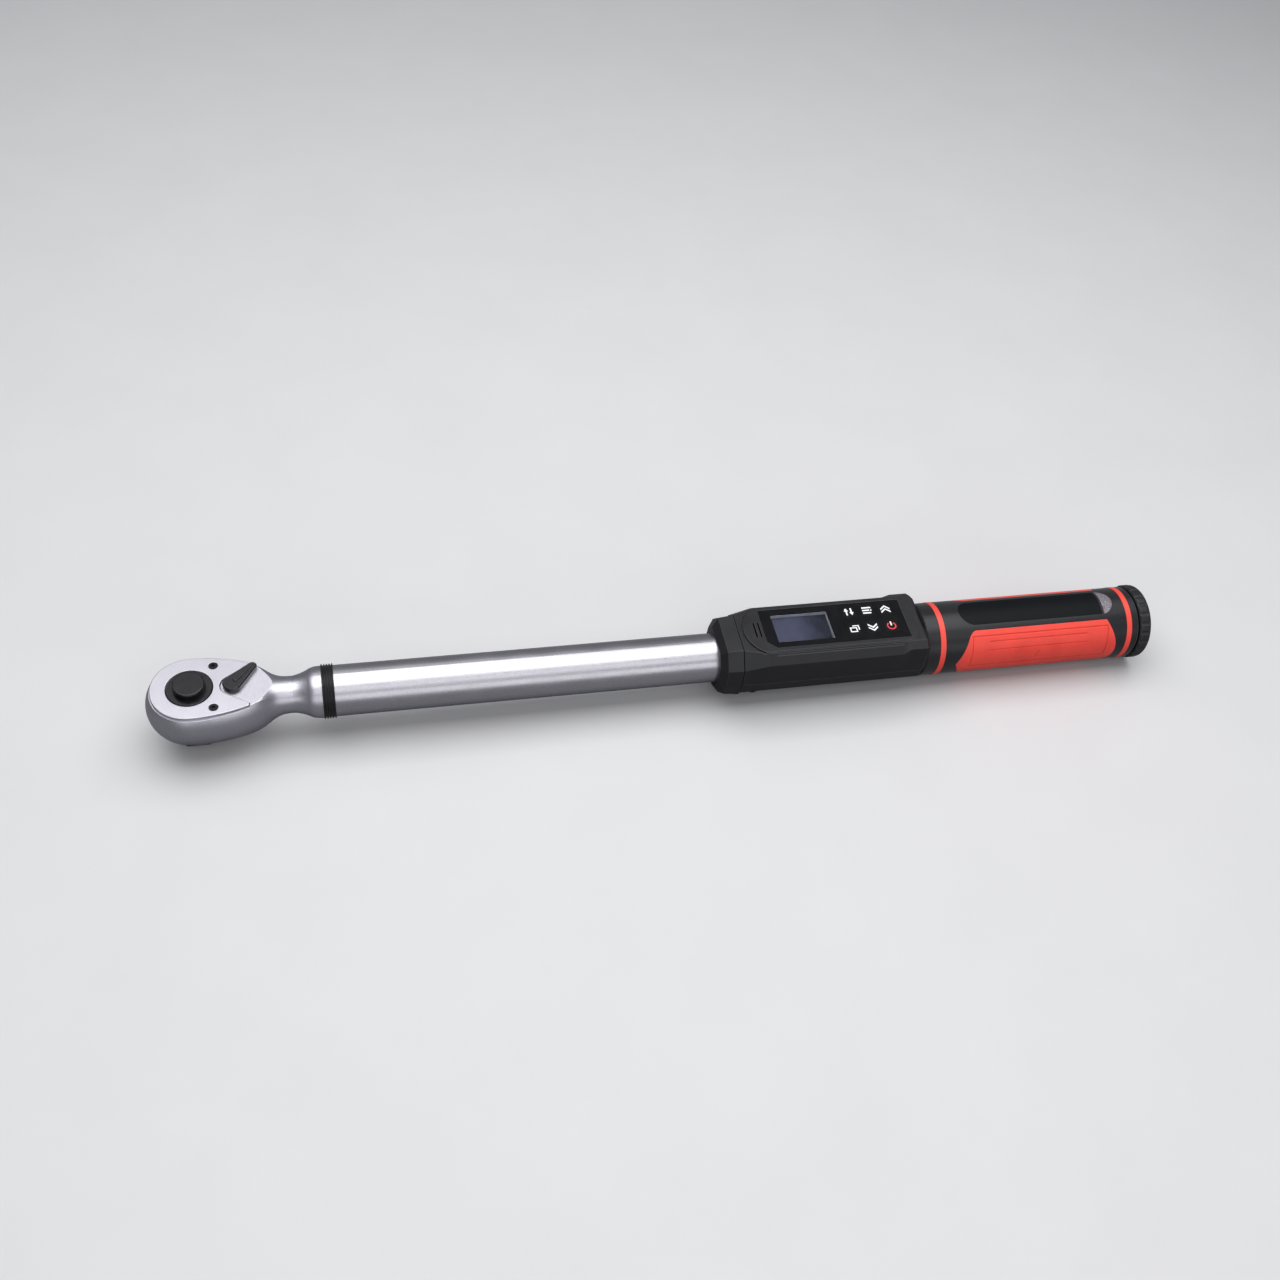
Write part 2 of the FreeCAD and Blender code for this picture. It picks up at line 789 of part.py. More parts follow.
def make_release_spring():
    """The coil spring under the button."""
    made = body("release_spring")
    wire = circle(sketch(made, "XZ"), "3.3", "-spring_seat + 0.45", "0.4")
    coil(made, wire, "V_Axis", "1.75", "button_low + spring_seat - 0.9")
    return keep("release_spring", made)


def make_detent_ball():
    """The ball that holds a socket on the square."""
    made = doc.addObject("Part::Sphere", "detent_ball")
    bind(made, "Radius", "ball_r")
    bind(made, "Placement.Base.y", "-ball_y")
    bind(made, "Placement.Base.z", "-ball_z")
    return keep("detent_ball", made)


# ---------------------------------------------------------------- reversing gear

def make_lever():
    """The reversing lever: a boss, a tapering arm and a thumb ridge."""
    made = body("reverse_lever", x="pivot_x", turn="lever_angle")
    lean = "(lever_boss_r - lever_tip_r) / lever_reach"
    level = f"sqrt(1 - ({lean})^2)"
    boss_x = f"lever_boss_r * {lean}"
    boss_y = f"lever_boss_r * {level}"
    tip_x = f"lever_reach + lever_tip_r * {lean}"
    tip_y = f"lever_tip_r * {level}"
    path = [
        (boss_x, f"-{boss_y}"),
        (tip_x, f"-{tip_y}"),
        ("lever_reach + lever_tip_r", "0", tip_x, tip_y),
        (boss_x, boss_y),
        ("-lever_boss_r", "0", boss_x, f"-{boss_y}"),
    ]
    pad(made, outline(sketch(made, "XY", "lever_low"), path), "lever_top - lever_low")
    bevel(made, at_height("lever_top"), "0.6")
    ridge = [
        ("2.4", "-1.5"),
        ("lever_reach - 0.6", "-0.9"),
        ("lever_reach + 0.3", "0", "lever_reach - 0.6", "0.9"),
        ("2.4", "1.5"),
        ("0.9", "0", "2.4", "-1.5"),
    ]
    pad(made, outline(sketch(made, "XY", "lever_top - 0.2"), ridge), "ridge_top - lever_top + 0.2")
    bevel(made, at_height("ridge_top"), "0.3")
    hole = circle(sketch(made, "XY", "lever_low"), "0", "0", "tenon_r")
    pocket(made, hole, "2.2", along=True)
    return keep("reverse_lever", made)


def make_lever_shaft():
    """The steel shaft of the lever, cross-bored for the spring plunger."""
    path = [
        ("0", "-5.6"),
        ("shaft_r - 0.3", "-5.6"),
        ("shaft_r", "-5.3"),
        ("shaft_r", "4.95"),
        ("2.4", "4.95"),
        ("2.4", "5.85"),
        ("shaft_r", "5.85"),
        ("shaft_r", "lever_low"),
        ("tenon_r", "lever_low"),
        ("tenon_r", "lever_low + 2.2"),
        ("0", "lever_low + 2.2"),
    ]
    made = turned_piece("lever_shaft", path, "V_Axis", x="pivot_x", turn="lever_angle")
    bore = circle(sketch(made, "YZ", "1.9"), "0", "0", "plunger_r + play")
    pocket(made, bore, "6")
    return keep("lever_shaft", made)


def make_lever_clip():
    """The snap ring that keeps the shaft in the head."""
    made = body("lever_clip", x="pivot_x", turn="lever_angle")
    plan = circle(sketch(made, "XY", "5.05"), "0", "0", "3.9")
    circle(plan, "0", "0", "2.42")
    pad(made, plan, "0.7")
    gap = outline(sketch(made, "XY", "7"), box_path("0", "6", "-1.4", "1.4"))
    pocket(made, gap, "3")
    return keep("lever_clip", made)


def make_lever_plunger():
    """The spring plunger that throws the pawl over."""
    tip = "plunger_reach - plunger_r"
    path = [
        ("-0.9", "0"),
        ("-0.9", "plunger_r"),
        (f"-({tip})", "plunger_r"),
        (f"-({tip}) - plunger_r * sin(45)", "plunger_r * cos(45)", "-plunger_reach", "0"),
    ]
    made = turned_piece("lever_plunger", path, "H_Axis", x="pivot_x", turn="lever_angle")
    return keep("lever_plunger", made)


def make_plunger_spring():
    """The small coil behind the plunger."""
    made = body("plunger_spring", x="pivot_x", turn="lever_angle")
    wire = circle(sketch(made, "XZ"), "-0.7", "0.8", "0.16")
    made_coil = coil(made, wire, "H_Axis", "0.6", "2.3")
    doc.recompute()
    if made.Shape.BoundBox.Center.x < value("pivot_x") - 1.2:
        made_coil.Reversed = True
    return keep("plunger_spring", made)


def make_pawl():
    """The double-ended pawl, riding just clear of the gear's tips."""
    made = body("pawl", turn="-pawl_swing")
    cos_end = "cos(pawl_angle)"
    sin_end = "sin(pawl_angle)"
    path = [
        (f"pawl_in * {cos_end}", f"-pawl_in * {sin_end}"),
        (f"pawl_out * {cos_end}", f"-pawl_out * {sin_end}"),
        ("pawl_out", "0", f"pawl_out * {cos_end}", f"pawl_out * {sin_end}"),
        (f"pawl_in * {cos_end}", f"pawl_in * {sin_end}"),
        ("pawl_in", "0", f"pawl_in * {cos_end}", f"-pawl_in * {sin_end}"),
    ]
    pad(made, outline(sketch(made, "XY", "-pawl_half"), path), "2 * pawl_half")
    space = sketch(made, "XY", "pawl_half + 1")
    space.AttachmentOffset = Placement(space.AttachmentOffset.Base, Rotation(Vector(0, 0, 1), -25))
    half = "pawl_in * sin(tooth_pitch/2)"
    outline(space, [("pawl_in + tooth_depth", "0"), ("pawl_in - 0.3", half), ("pawl_in - 0.3", f"-{half}")])
    notch = pocket(made, space, "2 * pawl_half + 2")
    around(made, notch, space, 6, 50)
    return keep("pawl", made)


# ---------------------------------------------------------------- load path

def make_beam():
    """The bending beam that carries the strain gauges."""
    made = body("strain_beam")
    edge = [
        ("beam_start", "-beam_width/2"),
        ("waist_start", "-beam_width/2"),
        ("waist_start + 5", "-waist_width/2"),
        ("waist_end - 5", "-waist_width/2"),
        ("waist_end", "-beam_width/2"),
        ("beam_end", "-beam_width/2"),
    ]
    pad(made, outline(sketch(made, "XY"), both_sides(edge)), "beam_depth", middle=True)
    pocket(made, circle(sketch(made, "XY"), "head_pin_x", "0", "cross_pin_r"), "20", middle=True)
    pocket(made, circle(sketch(made, "XZ"), "beam_pin_x", "0", "cross_pin_r"), "20", middle=True)
    return keep("strain_beam", made)


def make_beam_plug():
    """The plug that carries the beam's end in the tube."""
    made = body("beam_plug")
    ring = ring_path("beam_end - 12", "beam_end + 2", "0", "tube_bore")
    turned(made, outline(sketch(made, "XZ"), ring), "H_Axis")
    hole = box_path("-beam_width/2", "beam_width/2", "-beam_depth/2", "beam_depth/2")
    pocket(made, outline(sketch(made, "YZ", "beam_end"), hole), "20")
    way = box_path("-1.5", "1.5", "beam_depth/2", "tube_bore + 1")
    pocket(made, outline(sketch(made, "YZ", "beam_end + 3"), way), "20")
    pocket(made, circle(sketch(made, "XZ"), "beam_pin_x", "0", "cross_pin_r"), "40", middle=True)
    return keep("beam_plug", made)


def make_cross_pins():
    """The pin through spigot and beam, and the pin through plug and beam."""
    for node, x, plane in (("head_pin", "head_pin_x", "XY"), ("beam_pin", "beam_pin_x", "XZ")):
        made = body(node)
        pad(made, circle(sketch(made, plane), x, "0", "cross_pin_r"), "2 * spigot_r - 1", middle=True)
        keep(node, made)


def make_gauges():
    """Four foil gauges on the waist of the beam, two on each side."""
    sides = []
    for side in ("", "-"):
        for start in ("waist_start + 8", "waist_start + 17"):
            low = "waist_width/2" if side == "" else "-waist_width/2 - 0.2"
            name = f"gauge_{len(sides)}"
            sides.append(block(name, start, f"{start} + 6", low, f"{low} + 0.2", "-2.5", "2.5"))
    return group("strain_gauges", sides)


def make_wire(node, start_x, slot_x, run_z, towards_head):
    """A cable that lies along the tube and turns up to the circuit board in a
    round moulded elbow."""
    made = body(node, x=slot_x, z=run_z)
    run = circle(sketch(made, "YZ"), "0", "0", "wire_r")
    pad(made, run, f"abs({slot_x} - ({start_x}))", back=not towards_head)
    rise = circle(sketch(made, "XY"), "0", "0", "wire_r")
    pad(made, rise, f"board_low - ({run_z})")
    elbow = [("0", "-elbow_r"), ("elbow_r", "0", "0", "elbow_r")]
    turned(made, outline(sketch(made, "XZ"), elbow), "V_Axis")
    return keep(node, made)


# ---------------------------------------------------------------- collar and tube

def make_collar():
    """The grooved ring between the neck and the tube."""
    made = body("tube_collar")
    ring = ring_path("neck_end", "tube_start", "spigot_r", "collar_r")
    turned(made, outline(sketch(made, "XZ"), ring), "H_Axis")
    count = 4
    step = f"(tube_start - neck_end) / {count + 0.5}"
    cut = sketch(made, "XZ")
    first = f"neck_end + 0.5 * {step}"
    outline(cut, [
        (f"{first} + 0.15", "collar_r - collar_groove"),
        (f"{first} + 0.5", "collar_r - collar_groove"),
        (f"{first} + 0.85", "collar_r + 0.2"),
        (f"{first} - 0.2", "collar_r + 0.2"),
    ])
    groove = turned(made, cut, "H_Axis", cut=True)
    in_row(made, groove, "X", count, f"({count - 1}) * {step}")
    return keep("tube_collar", made)


def make_tube():
    """The steel tube that runs through housing and grip."""
    made = body("lever_tube")
    ring = ring_path("tube_start", "tube_end", "tube_bore", "tube_r")
    turned(made, outline(sketch(made, "XZ"), ring), "H_Axis")
    for place in ("wire_slot_x", "power_slot_x"):
        slot = outline(sketch(made, "XY", "tube_r + 1"), box_path(f"{place} - 4", f"{place} + 4", "-2", "2"))
        pocket(made, slot, "6")
    return keep("lever_tube", made)


# ---------------------------------------------------------------- housing

SCREW_PLACES = [(place, side) for place in ("case_screw_front", "case_screw_rear") for side in ("", "-")]


def upper_section(made, place, top_half, top_z, slope_half, slope_z, side, low, shrink="0"):
    """A cross section of the upper case, from the split line up."""
    edge = [
        (f"{side} - ({shrink})", low),
        (f"{slope_half} - ({shrink})", slope_z),
        (f"{top_half} - ({shrink}) * 0.8", f"{top_z} - ({shrink}) * 0.9"),
    ]
    path = edge + [(f"-({y})", z) for y, z in reversed(edge)]
    return outline(sketch(made, "YZ", place), path)


def lower_section(made, place, side, chine, chine_z, belly, belly_z, low, shrink="0"):
    """A cross section of the lower case, from the split line down."""
    edge = [
        (f"{side} - ({shrink})", low),
        (f"{chine} - ({shrink})", f"-({chine_z})"),
        (f"{belly} - ({shrink}) * 0.5", f"-({belly_z}) + ({shrink}) * 0.9"),
    ]
    path = edge + [(f"-({y})", z) for y, z in reversed(edge)]
    return outline(sketch(made, "YZ", place), path)


def tube_hole(made):
    """Cuts the way for the tube right through a case part."""
    hole = circle(sketch(made, "YZ", "case_end + 5"), "0", "0", "tube_r")
    pocket(made, hole, "130")


def make_nose():
    """The faceted nose ring in front of the case."""
    made = body("housing_nose")
    rings = []
    for place, grow in (("nose_start", "-4.6"), ("nose_mid", "-0.7"), ("nose_end", "0")):
        edge = [
            (f"12.2 + ({grow}) * 0.6", f"18.4 + ({grow})"),
            (f"19.2 + ({grow})", f"9.8 + ({grow}) * 0.5"),
            (f"19.9 + ({grow})", "-2"),
            (f"18.4 + ({grow})", f"-9.5 - ({grow}) * 0.5"),
            (f"9.5 + ({grow}) * 0.5", f"-18.6 - ({grow})"),
        ]
        path = edge + [(f"-({y})", z) for y, z in reversed(edge)]
        rings.append(outline(sketch(made, "YZ", place), path))
    loft(made, rings, ruled=True)
    tube_hole(made)
    return keep("housing_nose", made)


# Cross sections of the case: half widths and heights, from the top downwards
# for the upper half and from the split line downwards for the lower half.
FRONT_UPPER = ("12.4", "18.4", "19.4", "10.2", "20.0")
FULL_UPPER = ("top_half", "case_top", "slope_half", "slope_z", "side_half")
FULL_LOWER = ("side_half", "chine_half", "chine_z", "belly_half", "belly_z")
SLOT_PLACES = ("283.6", "286.0")


def make_housing_top():
    """The upper case with its bezel, speaker slots and screw bosses."""
    made = body("housing_top")
    low = "split_gap"
    shoulder = ("top_half", "case_top", "19.5", "16.2", "side_half")
    rows = [
        upper_section(made, "case_start", *FRONT_UPPER, low),
        upper_section(made, "case_rise", *FULL_UPPER, low),
        upper_section(made, "case_fall", *FULL_UPPER, low),
        upper_section(made, "shoulder_start", *shoulder, low),
        upper_section(made, "shoulder_end", *shoulder, low),
        upper_section(made, "case_end", "14.2", "17.4", "18.2", "15.0", "19.6", low),
    ]
    loft(made, rows, ruled=True)
    room = [
        upper_section(made, "case_start + wall", *FRONT_UPPER, "-1", shrink="wall"),
        upper_section(made, "case_rise + 2", *FULL_UPPER, "-1", shrink="wall"),
        upper_section(made, "case_fall + wall", *FULL_UPPER, "-1", shrink="wall"),
    ]
    loft(made, room, ruled=True, cut=True)
    tube_hole(made)
    add_bezel(made)
    cut_side_steps(made)
    seat = [
        ("panel_start - 0.1", "panel_half + 0.1"),
        ("panel_start - 0.1", "-panel_half + panel_cut"),
        ("panel_start + panel_cut", "-panel_half - 0.1"),
        ("panel_end + 0.1", "-panel_half - 0.1"),
        ("panel_end + 0.1", "panel_half + 0.1"),
    ]
    pocket(made, outline(sketch(made, "XY", "bezel_top + 1"), seat), "bezel_top + 1 - panel_low")
    opening = box_path("screen_start - 1.5", "panel_end - 1.5", "-panel_half + 1.2", "panel_half - 1.2")
    pocket(made, outline(sketch(made, "XY", "panel_low"), opening), "2.5")
    slots = sketch(made, "XY", "bezel_top + 1")
    for place in SLOT_PLACES:
        outline(slots, box_path(f"{place} - 0.4", f"{place} + 0.4", "-5", "5"))
    pocket(made, slots, "5")
    for side in ("", "-"):
        post = circle(sketch(made, "XY", low), "case_screw_front", side + "case_screw_y", "2.9")
        pad(made, post, "9")
    pilots = sketch(made, "XY", low)
    for place, side in SCREW_PLACES:
        circle(pilots, place, side + "case_screw_y", "1.2")
    pocket(made, pilots, "7", along=True)
    return keep("housing_top", made)


def add_bezel(made):
    """The raised bezel round the panel, with a line sunk round its front."""
    half = "bezel_half"
    path = [
        ("bezel_front", half),
        ("bezel_nose", "0", "bezel_front", f"-{half}"),
        ("bezel_end - bezel_cut", f"-{half}"),
        ("bezel_end", f"-{half} + bezel_cut"),
        ("bezel_end", f"{half} - bezel_cut"),
        ("bezel_end - bezel_cut", half),
    ]
    root = "case_top - 0.6"
    pad(made, outline(sketch(made, "XY", root), path), f"bezel_top - ({root})")
    bevel(made, at_height("bezel_top"), "0.2")
    grown_half = "(bezel_half + bezel_line)"
    line = [
        ("bezel_front", f"-{half}"),
        ("bezel_nose", "0", "bezel_front", half),
        ("bezel_front", grown_half),
        ("bezel_nose - bezel_line", "0", "bezel_front", f"-{grown_half}"),
    ]
    pocket(made, outline(sketch(made, "XY", "bezel_top"), line), "bezel_top - case_top + bezel_line")


def cut_side_steps(made):
    """Two small steps along each flank, beside the bezel."""
    for side in ("", "-"):
        for count in (0, 1):
            inner = f"top_half + {count} * step_out"
            level = f"case_top - {count + 1} * step_drop"
            notch = outline(sketch(made, "YZ", "step_start"), [
                (f"{side}({inner})", level),
                (f"{side}({inner} + step_out + 0.2)", level),
                (f"{side}({inner})", f"{level} + step_drop + 0.24"),
            ])
            pocket(made, notch, "step_end - step_start", along=True)


def make_housing_bottom():
    """The lower case with its counterbored screw holes."""
    made = body("housing_bottom")
    low = "-split_gap"
    rows = [
        lower_section(made, "case_start", "20.0", "18.6", "8.2", "9.2", "18.8", low),
        lower_section(made, "case_rise", *FULL_LOWER, low),
        lower_section(made, "shoulder_end", *FULL_LOWER, low),
        lower_section(made, "case_end", "19.6", "17.8", "7.0", "8.8", "17.8", low),
    ]
    loft(made, rows, ruled=True)
    room = [
        lower_section(made, "case_start + wall", *FULL_LOWER, "1", shrink="wall"),
        lower_section(made, "case_fall + wall", *FULL_LOWER, "1", shrink="wall"),
    ]
    loft(made, room, ruled=True, cut=True)
    for side in ("", "-"):
        post = circle(sketch(made, "XY", low), "case_screw_front", side + "case_screw_y", "3.0")
        pad(made, post, "8", back=True)
    heads = sketch(made, "XY", "-5")
    bores = sketch(made, "XY", low)
    for place, side in SCREW_PLACES:
        circle(heads, place, side + "case_screw_y", "2.4")
        circle(bores, place, side + "case_screw_y", "1.5")
    pocket(made, heads, "15")
    pocket(made, bores, "6")
    tube_hole(made)
    return keep("housing_bottom", made)


def make_housing_seal():
    """The thin seal between the two halves of the case, in two strips
    because the tube passes through both of its ends."""
    made = body("housing_seal")
    outer = box_path("case_start + 0.6", "shoulder_end", "-seal_half", "seal_half")
    inner = box_path("case_start + 2", "shoulder_end - 1.4", "-seal_half + 0.6", "seal_half - 0.6")
    frame = outline(sketch(made, "XY", "-split_gap"), outer)
    outline(frame, inner)
    pad(made, frame, "2 * split_gap")
    tube_hole(made)
    return keep("housing_seal", made)


def make_housing_screws():
    """Four screws that close the case from below."""
    screws = []
    path = [
        ("0", "-7"),
        ("2.2", "-7"),
        ("2.2", "-5"),
        ("1.2", "-5"),
        ("1.2", "6"),
        ("0", "6"),
    ]
    corners = [(f"1.0 * cos({60 * n})", f"1.0 * sin({60 * n})") for n in range(6)]
    for place, side in SCREW_PLACES:
        made = body(f"case_screw_{len(screws)}", x=place, y=side + "case_screw_y")
        turned(made, outline(sketch(made, "XZ"), path), "V_Axis")
        pocket(made, outline(sketch(made, "XY", "-7"), corners), "1.1", along=True)
        screws.append(made)
    return group("housing_screws", screws)


# ---------------------------------------------------------------- display and keys

KEYS = {
    "key_unit": (0, "key_far"),
    "key_mode": (1, "key_far"),
    "key_up": (2, "key_far"),
    "key_memory": (0, "-key_near"),
    "key_down": (1, "-key_near"),
    "key_power": (2, "-key_near"),
}


def key_box(column, row, grow="0"):
    """The plan outline of one key."""
    x = f"(key_first + {column} * key_pitch)"
    return box_path(
        f"{x} - key_long/2 - ({grow})",
        f"{x} + key_long/2 + ({grow})",
        f"{row} - key_wide/2 - ({grow})",
        f"{row} + key_wide/2 + ({grow})",
    )


def make_panel():
    """The black front panel with the screen opening and six key openings."""
    made = body("front_panel")
    plan = [
        ("panel_start", "panel_half"),
        ("panel_start", "-panel_half + panel_cut"),
        ("panel_start + panel_cut", "-panel_half"),
        ("panel_end", "-panel_half"),
        ("panel_end", "panel_half"),
    ]
    pad(made, outline(sketch(made, "XY", "panel_low"), plan), "panel_top - panel_low")
    screen = box_path("screen_start", "screen_end", "-screen_half", "screen_half")
    pocket(made, outline(sketch(made, "XY", "panel_top"), screen), "3")
    keys = sketch(made, "XY", "panel_top")
    for column, row in KEYS.values():
        outline(keys, key_box(column, row, "key_gap"))
    pocket(made, keys, "3")
    return keep("front_panel", made)


def make_keys():
    """Six flush keys, each held by a rim under the panel."""
    for node, (column, row) in KEYS.items():
        made = body(node)
        rim = outline(sketch(made, "XY", "key_low"), key_box(column, row, "0.6"))
        pad(made, rim, "key_rim")
        cap = outline(sketch(made, "XY", "key_low"), key_box(column, row))
        pad(made, cap, "panel_top - key_low")
        keep(node, made)


def screen_box(grow):
    """The plan outline of the screen, grown on all sides."""
    return box_path(
        f"screen_start - ({grow})",
        f"screen_end + ({grow})",
        f"-screen_half - ({grow})",
        f"screen_half + ({grow})",
    )


def make_display():
    """Window, display, the well it sits in and the circuit board."""
    for node, low, high, grow in (
        ("display_window", "panel_top - window_thick", "panel_top", "0"),
        ("display_glass", "screen_low", "screen_low + 1", "-0.25"),
    ):
        made = body(node)
        pad(made, outline(sketch(made, "XY", low), screen_box(grow)), f"({high}) - ({low})")
        keep(node, made)
    well = body("display_frame")
    pad(well, outline(sketch(well, "XY", "board_top"), screen_box("2")), "screen_low - board_top")
    wall_root = "screen_low - 0.2"
    pad(well, outline(sketch(well, "XY", wall_root), screen_box("1")), f"panel_low - ({wall_root})")
    pocket(well, outline(sketch(well, "XY", "panel_low"), screen_box("-0.2")), "panel_low - screen_low")
    keep("display_frame", well)
    made = body("circuit_board")
    plan = box_path("board_start", "board_end", "-board_half", "board_half")
    pad(made, outline(sketch(made, "XY", "board_low"), plan), "board_top - board_low")
    keep("circuit_board", made)


def make_switches():
    """One small switch under each key."""
    switches = []
    for node, (column, row) in KEYS.items():
        x = f"(key_first + {column} * key_pitch)"
        footprint = (f"{x} - 3", f"{x} + 3", f"{row} - 2.5", f"{row} + 2.5")
        switches.append(block(node + "_switch", *footprint, "board_top", "key_low - 0.6"))
    return group("key_switches", switches)


def make_buzzer():
    """The round buzzer behind the speaker slots."""
    made = body("buzzer")
    pad(made, circle(sketch(made, "XY", "board_top"), "284.6", "0", "4.5"), "buzzer_tall")
    return keep("buzzer", made)


def make_chips():
    """The processor and the gauge amplifier on the board."""
    chips = [
        block("processor", "327.4", "333.2", "-9", "-3", "board_top", "board_top + 1.2"),
        block("amplifier", "327.6", "332.4", "2", "7", "board_top", "board_top + 1.0"),
        block("connector", "287", "290.5", "-11", "-7", "board_top", "board_top + 1.6"),
    ]
    return group("board_chips", chips)


# ---------------------------------------------------------------- grip

def grip_shell(label, inner="inlay_in", outer="grip_r"):
    """A full ring as thick as the inlays of the grip."""
    return turned_piece(label, ring_path("grip_start", "grip_end", inner, outer))


def make_side_panels():
    """The two coloured side panels let into the grip; returns them before
    their grooves are pressed in, as the shapes to cut out of the sleeve."""
    smooth_panels = []
    for node, back in (("grip_panel_right", False), ("grip_panel_left", True)):
        plan = body(node + "_plan")
        shape = [
            ("side_start", "0"),
            ("side_top_start - 3", "side_top_z - 3"),
            ("side_top_start - 1.2", "side_top_z - 0.8", "side_top_start + 2", "side_top_z"),
            ("side_top_end", "side_top_z"),
            ("side_end", "0", "side_top_end", "-side_low_z"),
            ("side_top_start + 2", "-side_low_z"),
            ("side_top_start - 1.2", "-side_low_z + 0.8", "side_top_start - 3", "-side_low_z + 3"),
        ]
        pad(plan, outline(sketch(plan, "XZ"), shape), "30", back=back)
        smooth = boolean("Common", node + "_smooth", grip_shell(node + "_shell"), plan)
        keep(node, boolean("Cut", node, smooth, groove_tool(node)))
        smooth_panels.append(smooth)
    return smooth_panels


def groove_tool(node):
    """The shallow grooves pressed into a side panel: a frame, two long lines
    and a tick, all as deep as the ring they're taken from."""
    plan = body(node + "_grooves")
    frame = sketch(plan, "XZ")
    outline(frame, box_path("field_start", "field_end", "field_low", "field_top"))
    inner = ("field_start + groove", "field_end - groove", "field_low + groove", "field_top - groove")
    outline(frame, box_path(*inner))
    for level in ("line_high", "line_low"):
        outline(frame, box_path("line_start", "line_end", level, f"{level} + groove"))
    outline(frame, [
        ("tick_x", "tick_low"),
        ("tick_x + groove", "tick_low"),
        ("tick_x + groove + 2", "tick_low + 4.4"),
        ("tick_x + 2", "tick_low + 4.4"),
    ])
    pad(plan, frame, "60", middle=True)
    skin = grip_shell(node + "_skin", "grip_r - groove_deep", "grip_r + 0.5")
    return boolean("Common", node + "_tool", skin, plan)


def make_inlays():
    """The smooth strip along the top of the grip, and the badge behind it."""
    strip = body("grip_strip_plan")
    reach = "strip_start + strip_half"
    pad(strip, outline(sketch(strip, "XY"), [
        (reach, "-strip_half"),
        ("strip_end", "-strip_half"),
        ("strip_end", "strip_half"),
        (reach, "strip_half"),
        ("strip_start", "0", reach, "-strip_half"),
    ]), "30")
    badge = body("grip_badge_plan")
    pad(badge, outline(sketch(badge, "XY"), [
        ("badge_start", "-strip_half"),
        ("badge_end", "0", "badge_start", "strip_half"),
    ]), "30")
    made = []
    for node, plan in (("grip_strip", strip), ("grip_badge", badge)):
        made.append(keep(node, boolean("Common", node, grip_shell(node + "_shell"), plan)))
    return made


def make_bands():
    """The two coloured bands round the grip."""
    made = []
    for node, start in (("front_band", "band_front"), ("rear_band", "band_rear")):
        path = ring_path(start, f"{start} + band_width", "inlay_in", "band_r")
        made.append(keep(node, turned_piece(node, path)))
    return made


def make_grip(inlays):
    """The soft sleeve over the tube, cut out for its inlays."""
    whole = body("grip_blank")
    path = [
        ("grip_start", "tube_r"),
        ("grip_start", "grip_r - 0.4"),
        ("grip_start + 0.6", "grip_r"),
        ("grip_end - 0.8", "grip_r"),
        ("grip_end", "grip_r - 0.8"),
        ("grip_end", "tube_r"),
    ]
    turned(whole, outline(sketch(whole, "XZ"), path), "H_Axis")
    base = whole
    for number, inlay in enumerate(inlays):
        base = boolean("Cut", f"grip_cut_{number}", base, inlay)
    return keep("grip_sleeve", base)


# ---------------------------------------------------------------- batteries and cap

def make_battery_carrier():
    """The plastic tube that centres the cells."""
    path = ring_path("carrier_start", "carrier_end", "cell_r + 0.3", "carrier_r")
    made = turned_piece("battery_carrier", path)
    return keep("battery_carrier", made)


def make_cells():
    """Two penlight cells, stud towards the head."""
    made = []
    second = "cell_start + cell_stud + cell_long + 0.1"
    for node, start in (("battery_front", "cell_start"), ("battery_rear", second)):
        path = [
            (start, "0"),
            (start, "2.7"),
            (f"{start} + cell_stud", "2.7"),
            (f"{start} + cell_stud", "cell_r - 0.5"),
            (f"{start} + cell_stud + 0.5", "cell_r"),
            (f"{start} + cell_stud + cell_long", "cell_r"),
            (f"{start} + cell_stud + cell_long", "0"),
        ]
        made.append(keep(node, turned_piece(node, path)))
    return made


def make_front_contact():
    """The contact disc at the front of the battery tube."""
    path = [
        ("cell_start - 3", "0"),
        ("cell_start - 3", "cell_r"),
        ("cell_start - 2.4", "cell_r"),
        ("cell_start - 2.4", "2.2"),
        ("cell_start - 0.1", "1.6"),
        ("cell_start - 0.1", "0"),
    ]
    return keep("front_contact", turned_piece("front_contact", path))


def make_thread_insert():
    """The ring in the tube's end that takes the cap's thread."""
    path = ring_path("insert_start", "tube_end", "insert_bore", "tube_bore")
    return keep("thread_insert", turned_piece("thread_insert", path))


def make_cap():
    """The end cap: a ribbed dome and a threaded stem."""
    path = [
        ("insert_start + 2", "3.05"),
        ("insert_start + 2", "stem_r"),
        ("cap_start", "stem_r"),
        ("cap_start", "cap_r - 0.9"),
        ("cap_start + 0.9", "cap_r"),
        ("cap_end - 2.4", "cap_r"),
        ("cap_end - 0.6", "cap_r - 0.7", "cap_end", "cap_r - 3.2"),
        ("cap_end", "0"),
        ("cap_end - 7", "0"),
        ("cap_end - 7", "3.05"),
    ]
    made = turned_piece("end_cap", path)
    rib = sketch(made, "YZ", "cap_end + 1")
    circle(rib, "0", "cap_r + 1.6", "2.1")
    flute = pocket(made, rib, "12")
    around(made, flute, rib, 24, 360)
    ridge = sketch(made, "XZ")
    outline(ridge, [
        ("insert_start + 3.2", "stem_r - 0.2"),
        ("insert_start + 4.4", "stem_r - 0.2"),
        ("insert_start + 3.95", "stem_r + thread_r"),
        ("insert_start + 3.65", "stem_r + thread_r"),
    ])
    coil(made, ridge, "H_Axis", "thread_pitch", "4.5")
    return keep("end_cap", made)


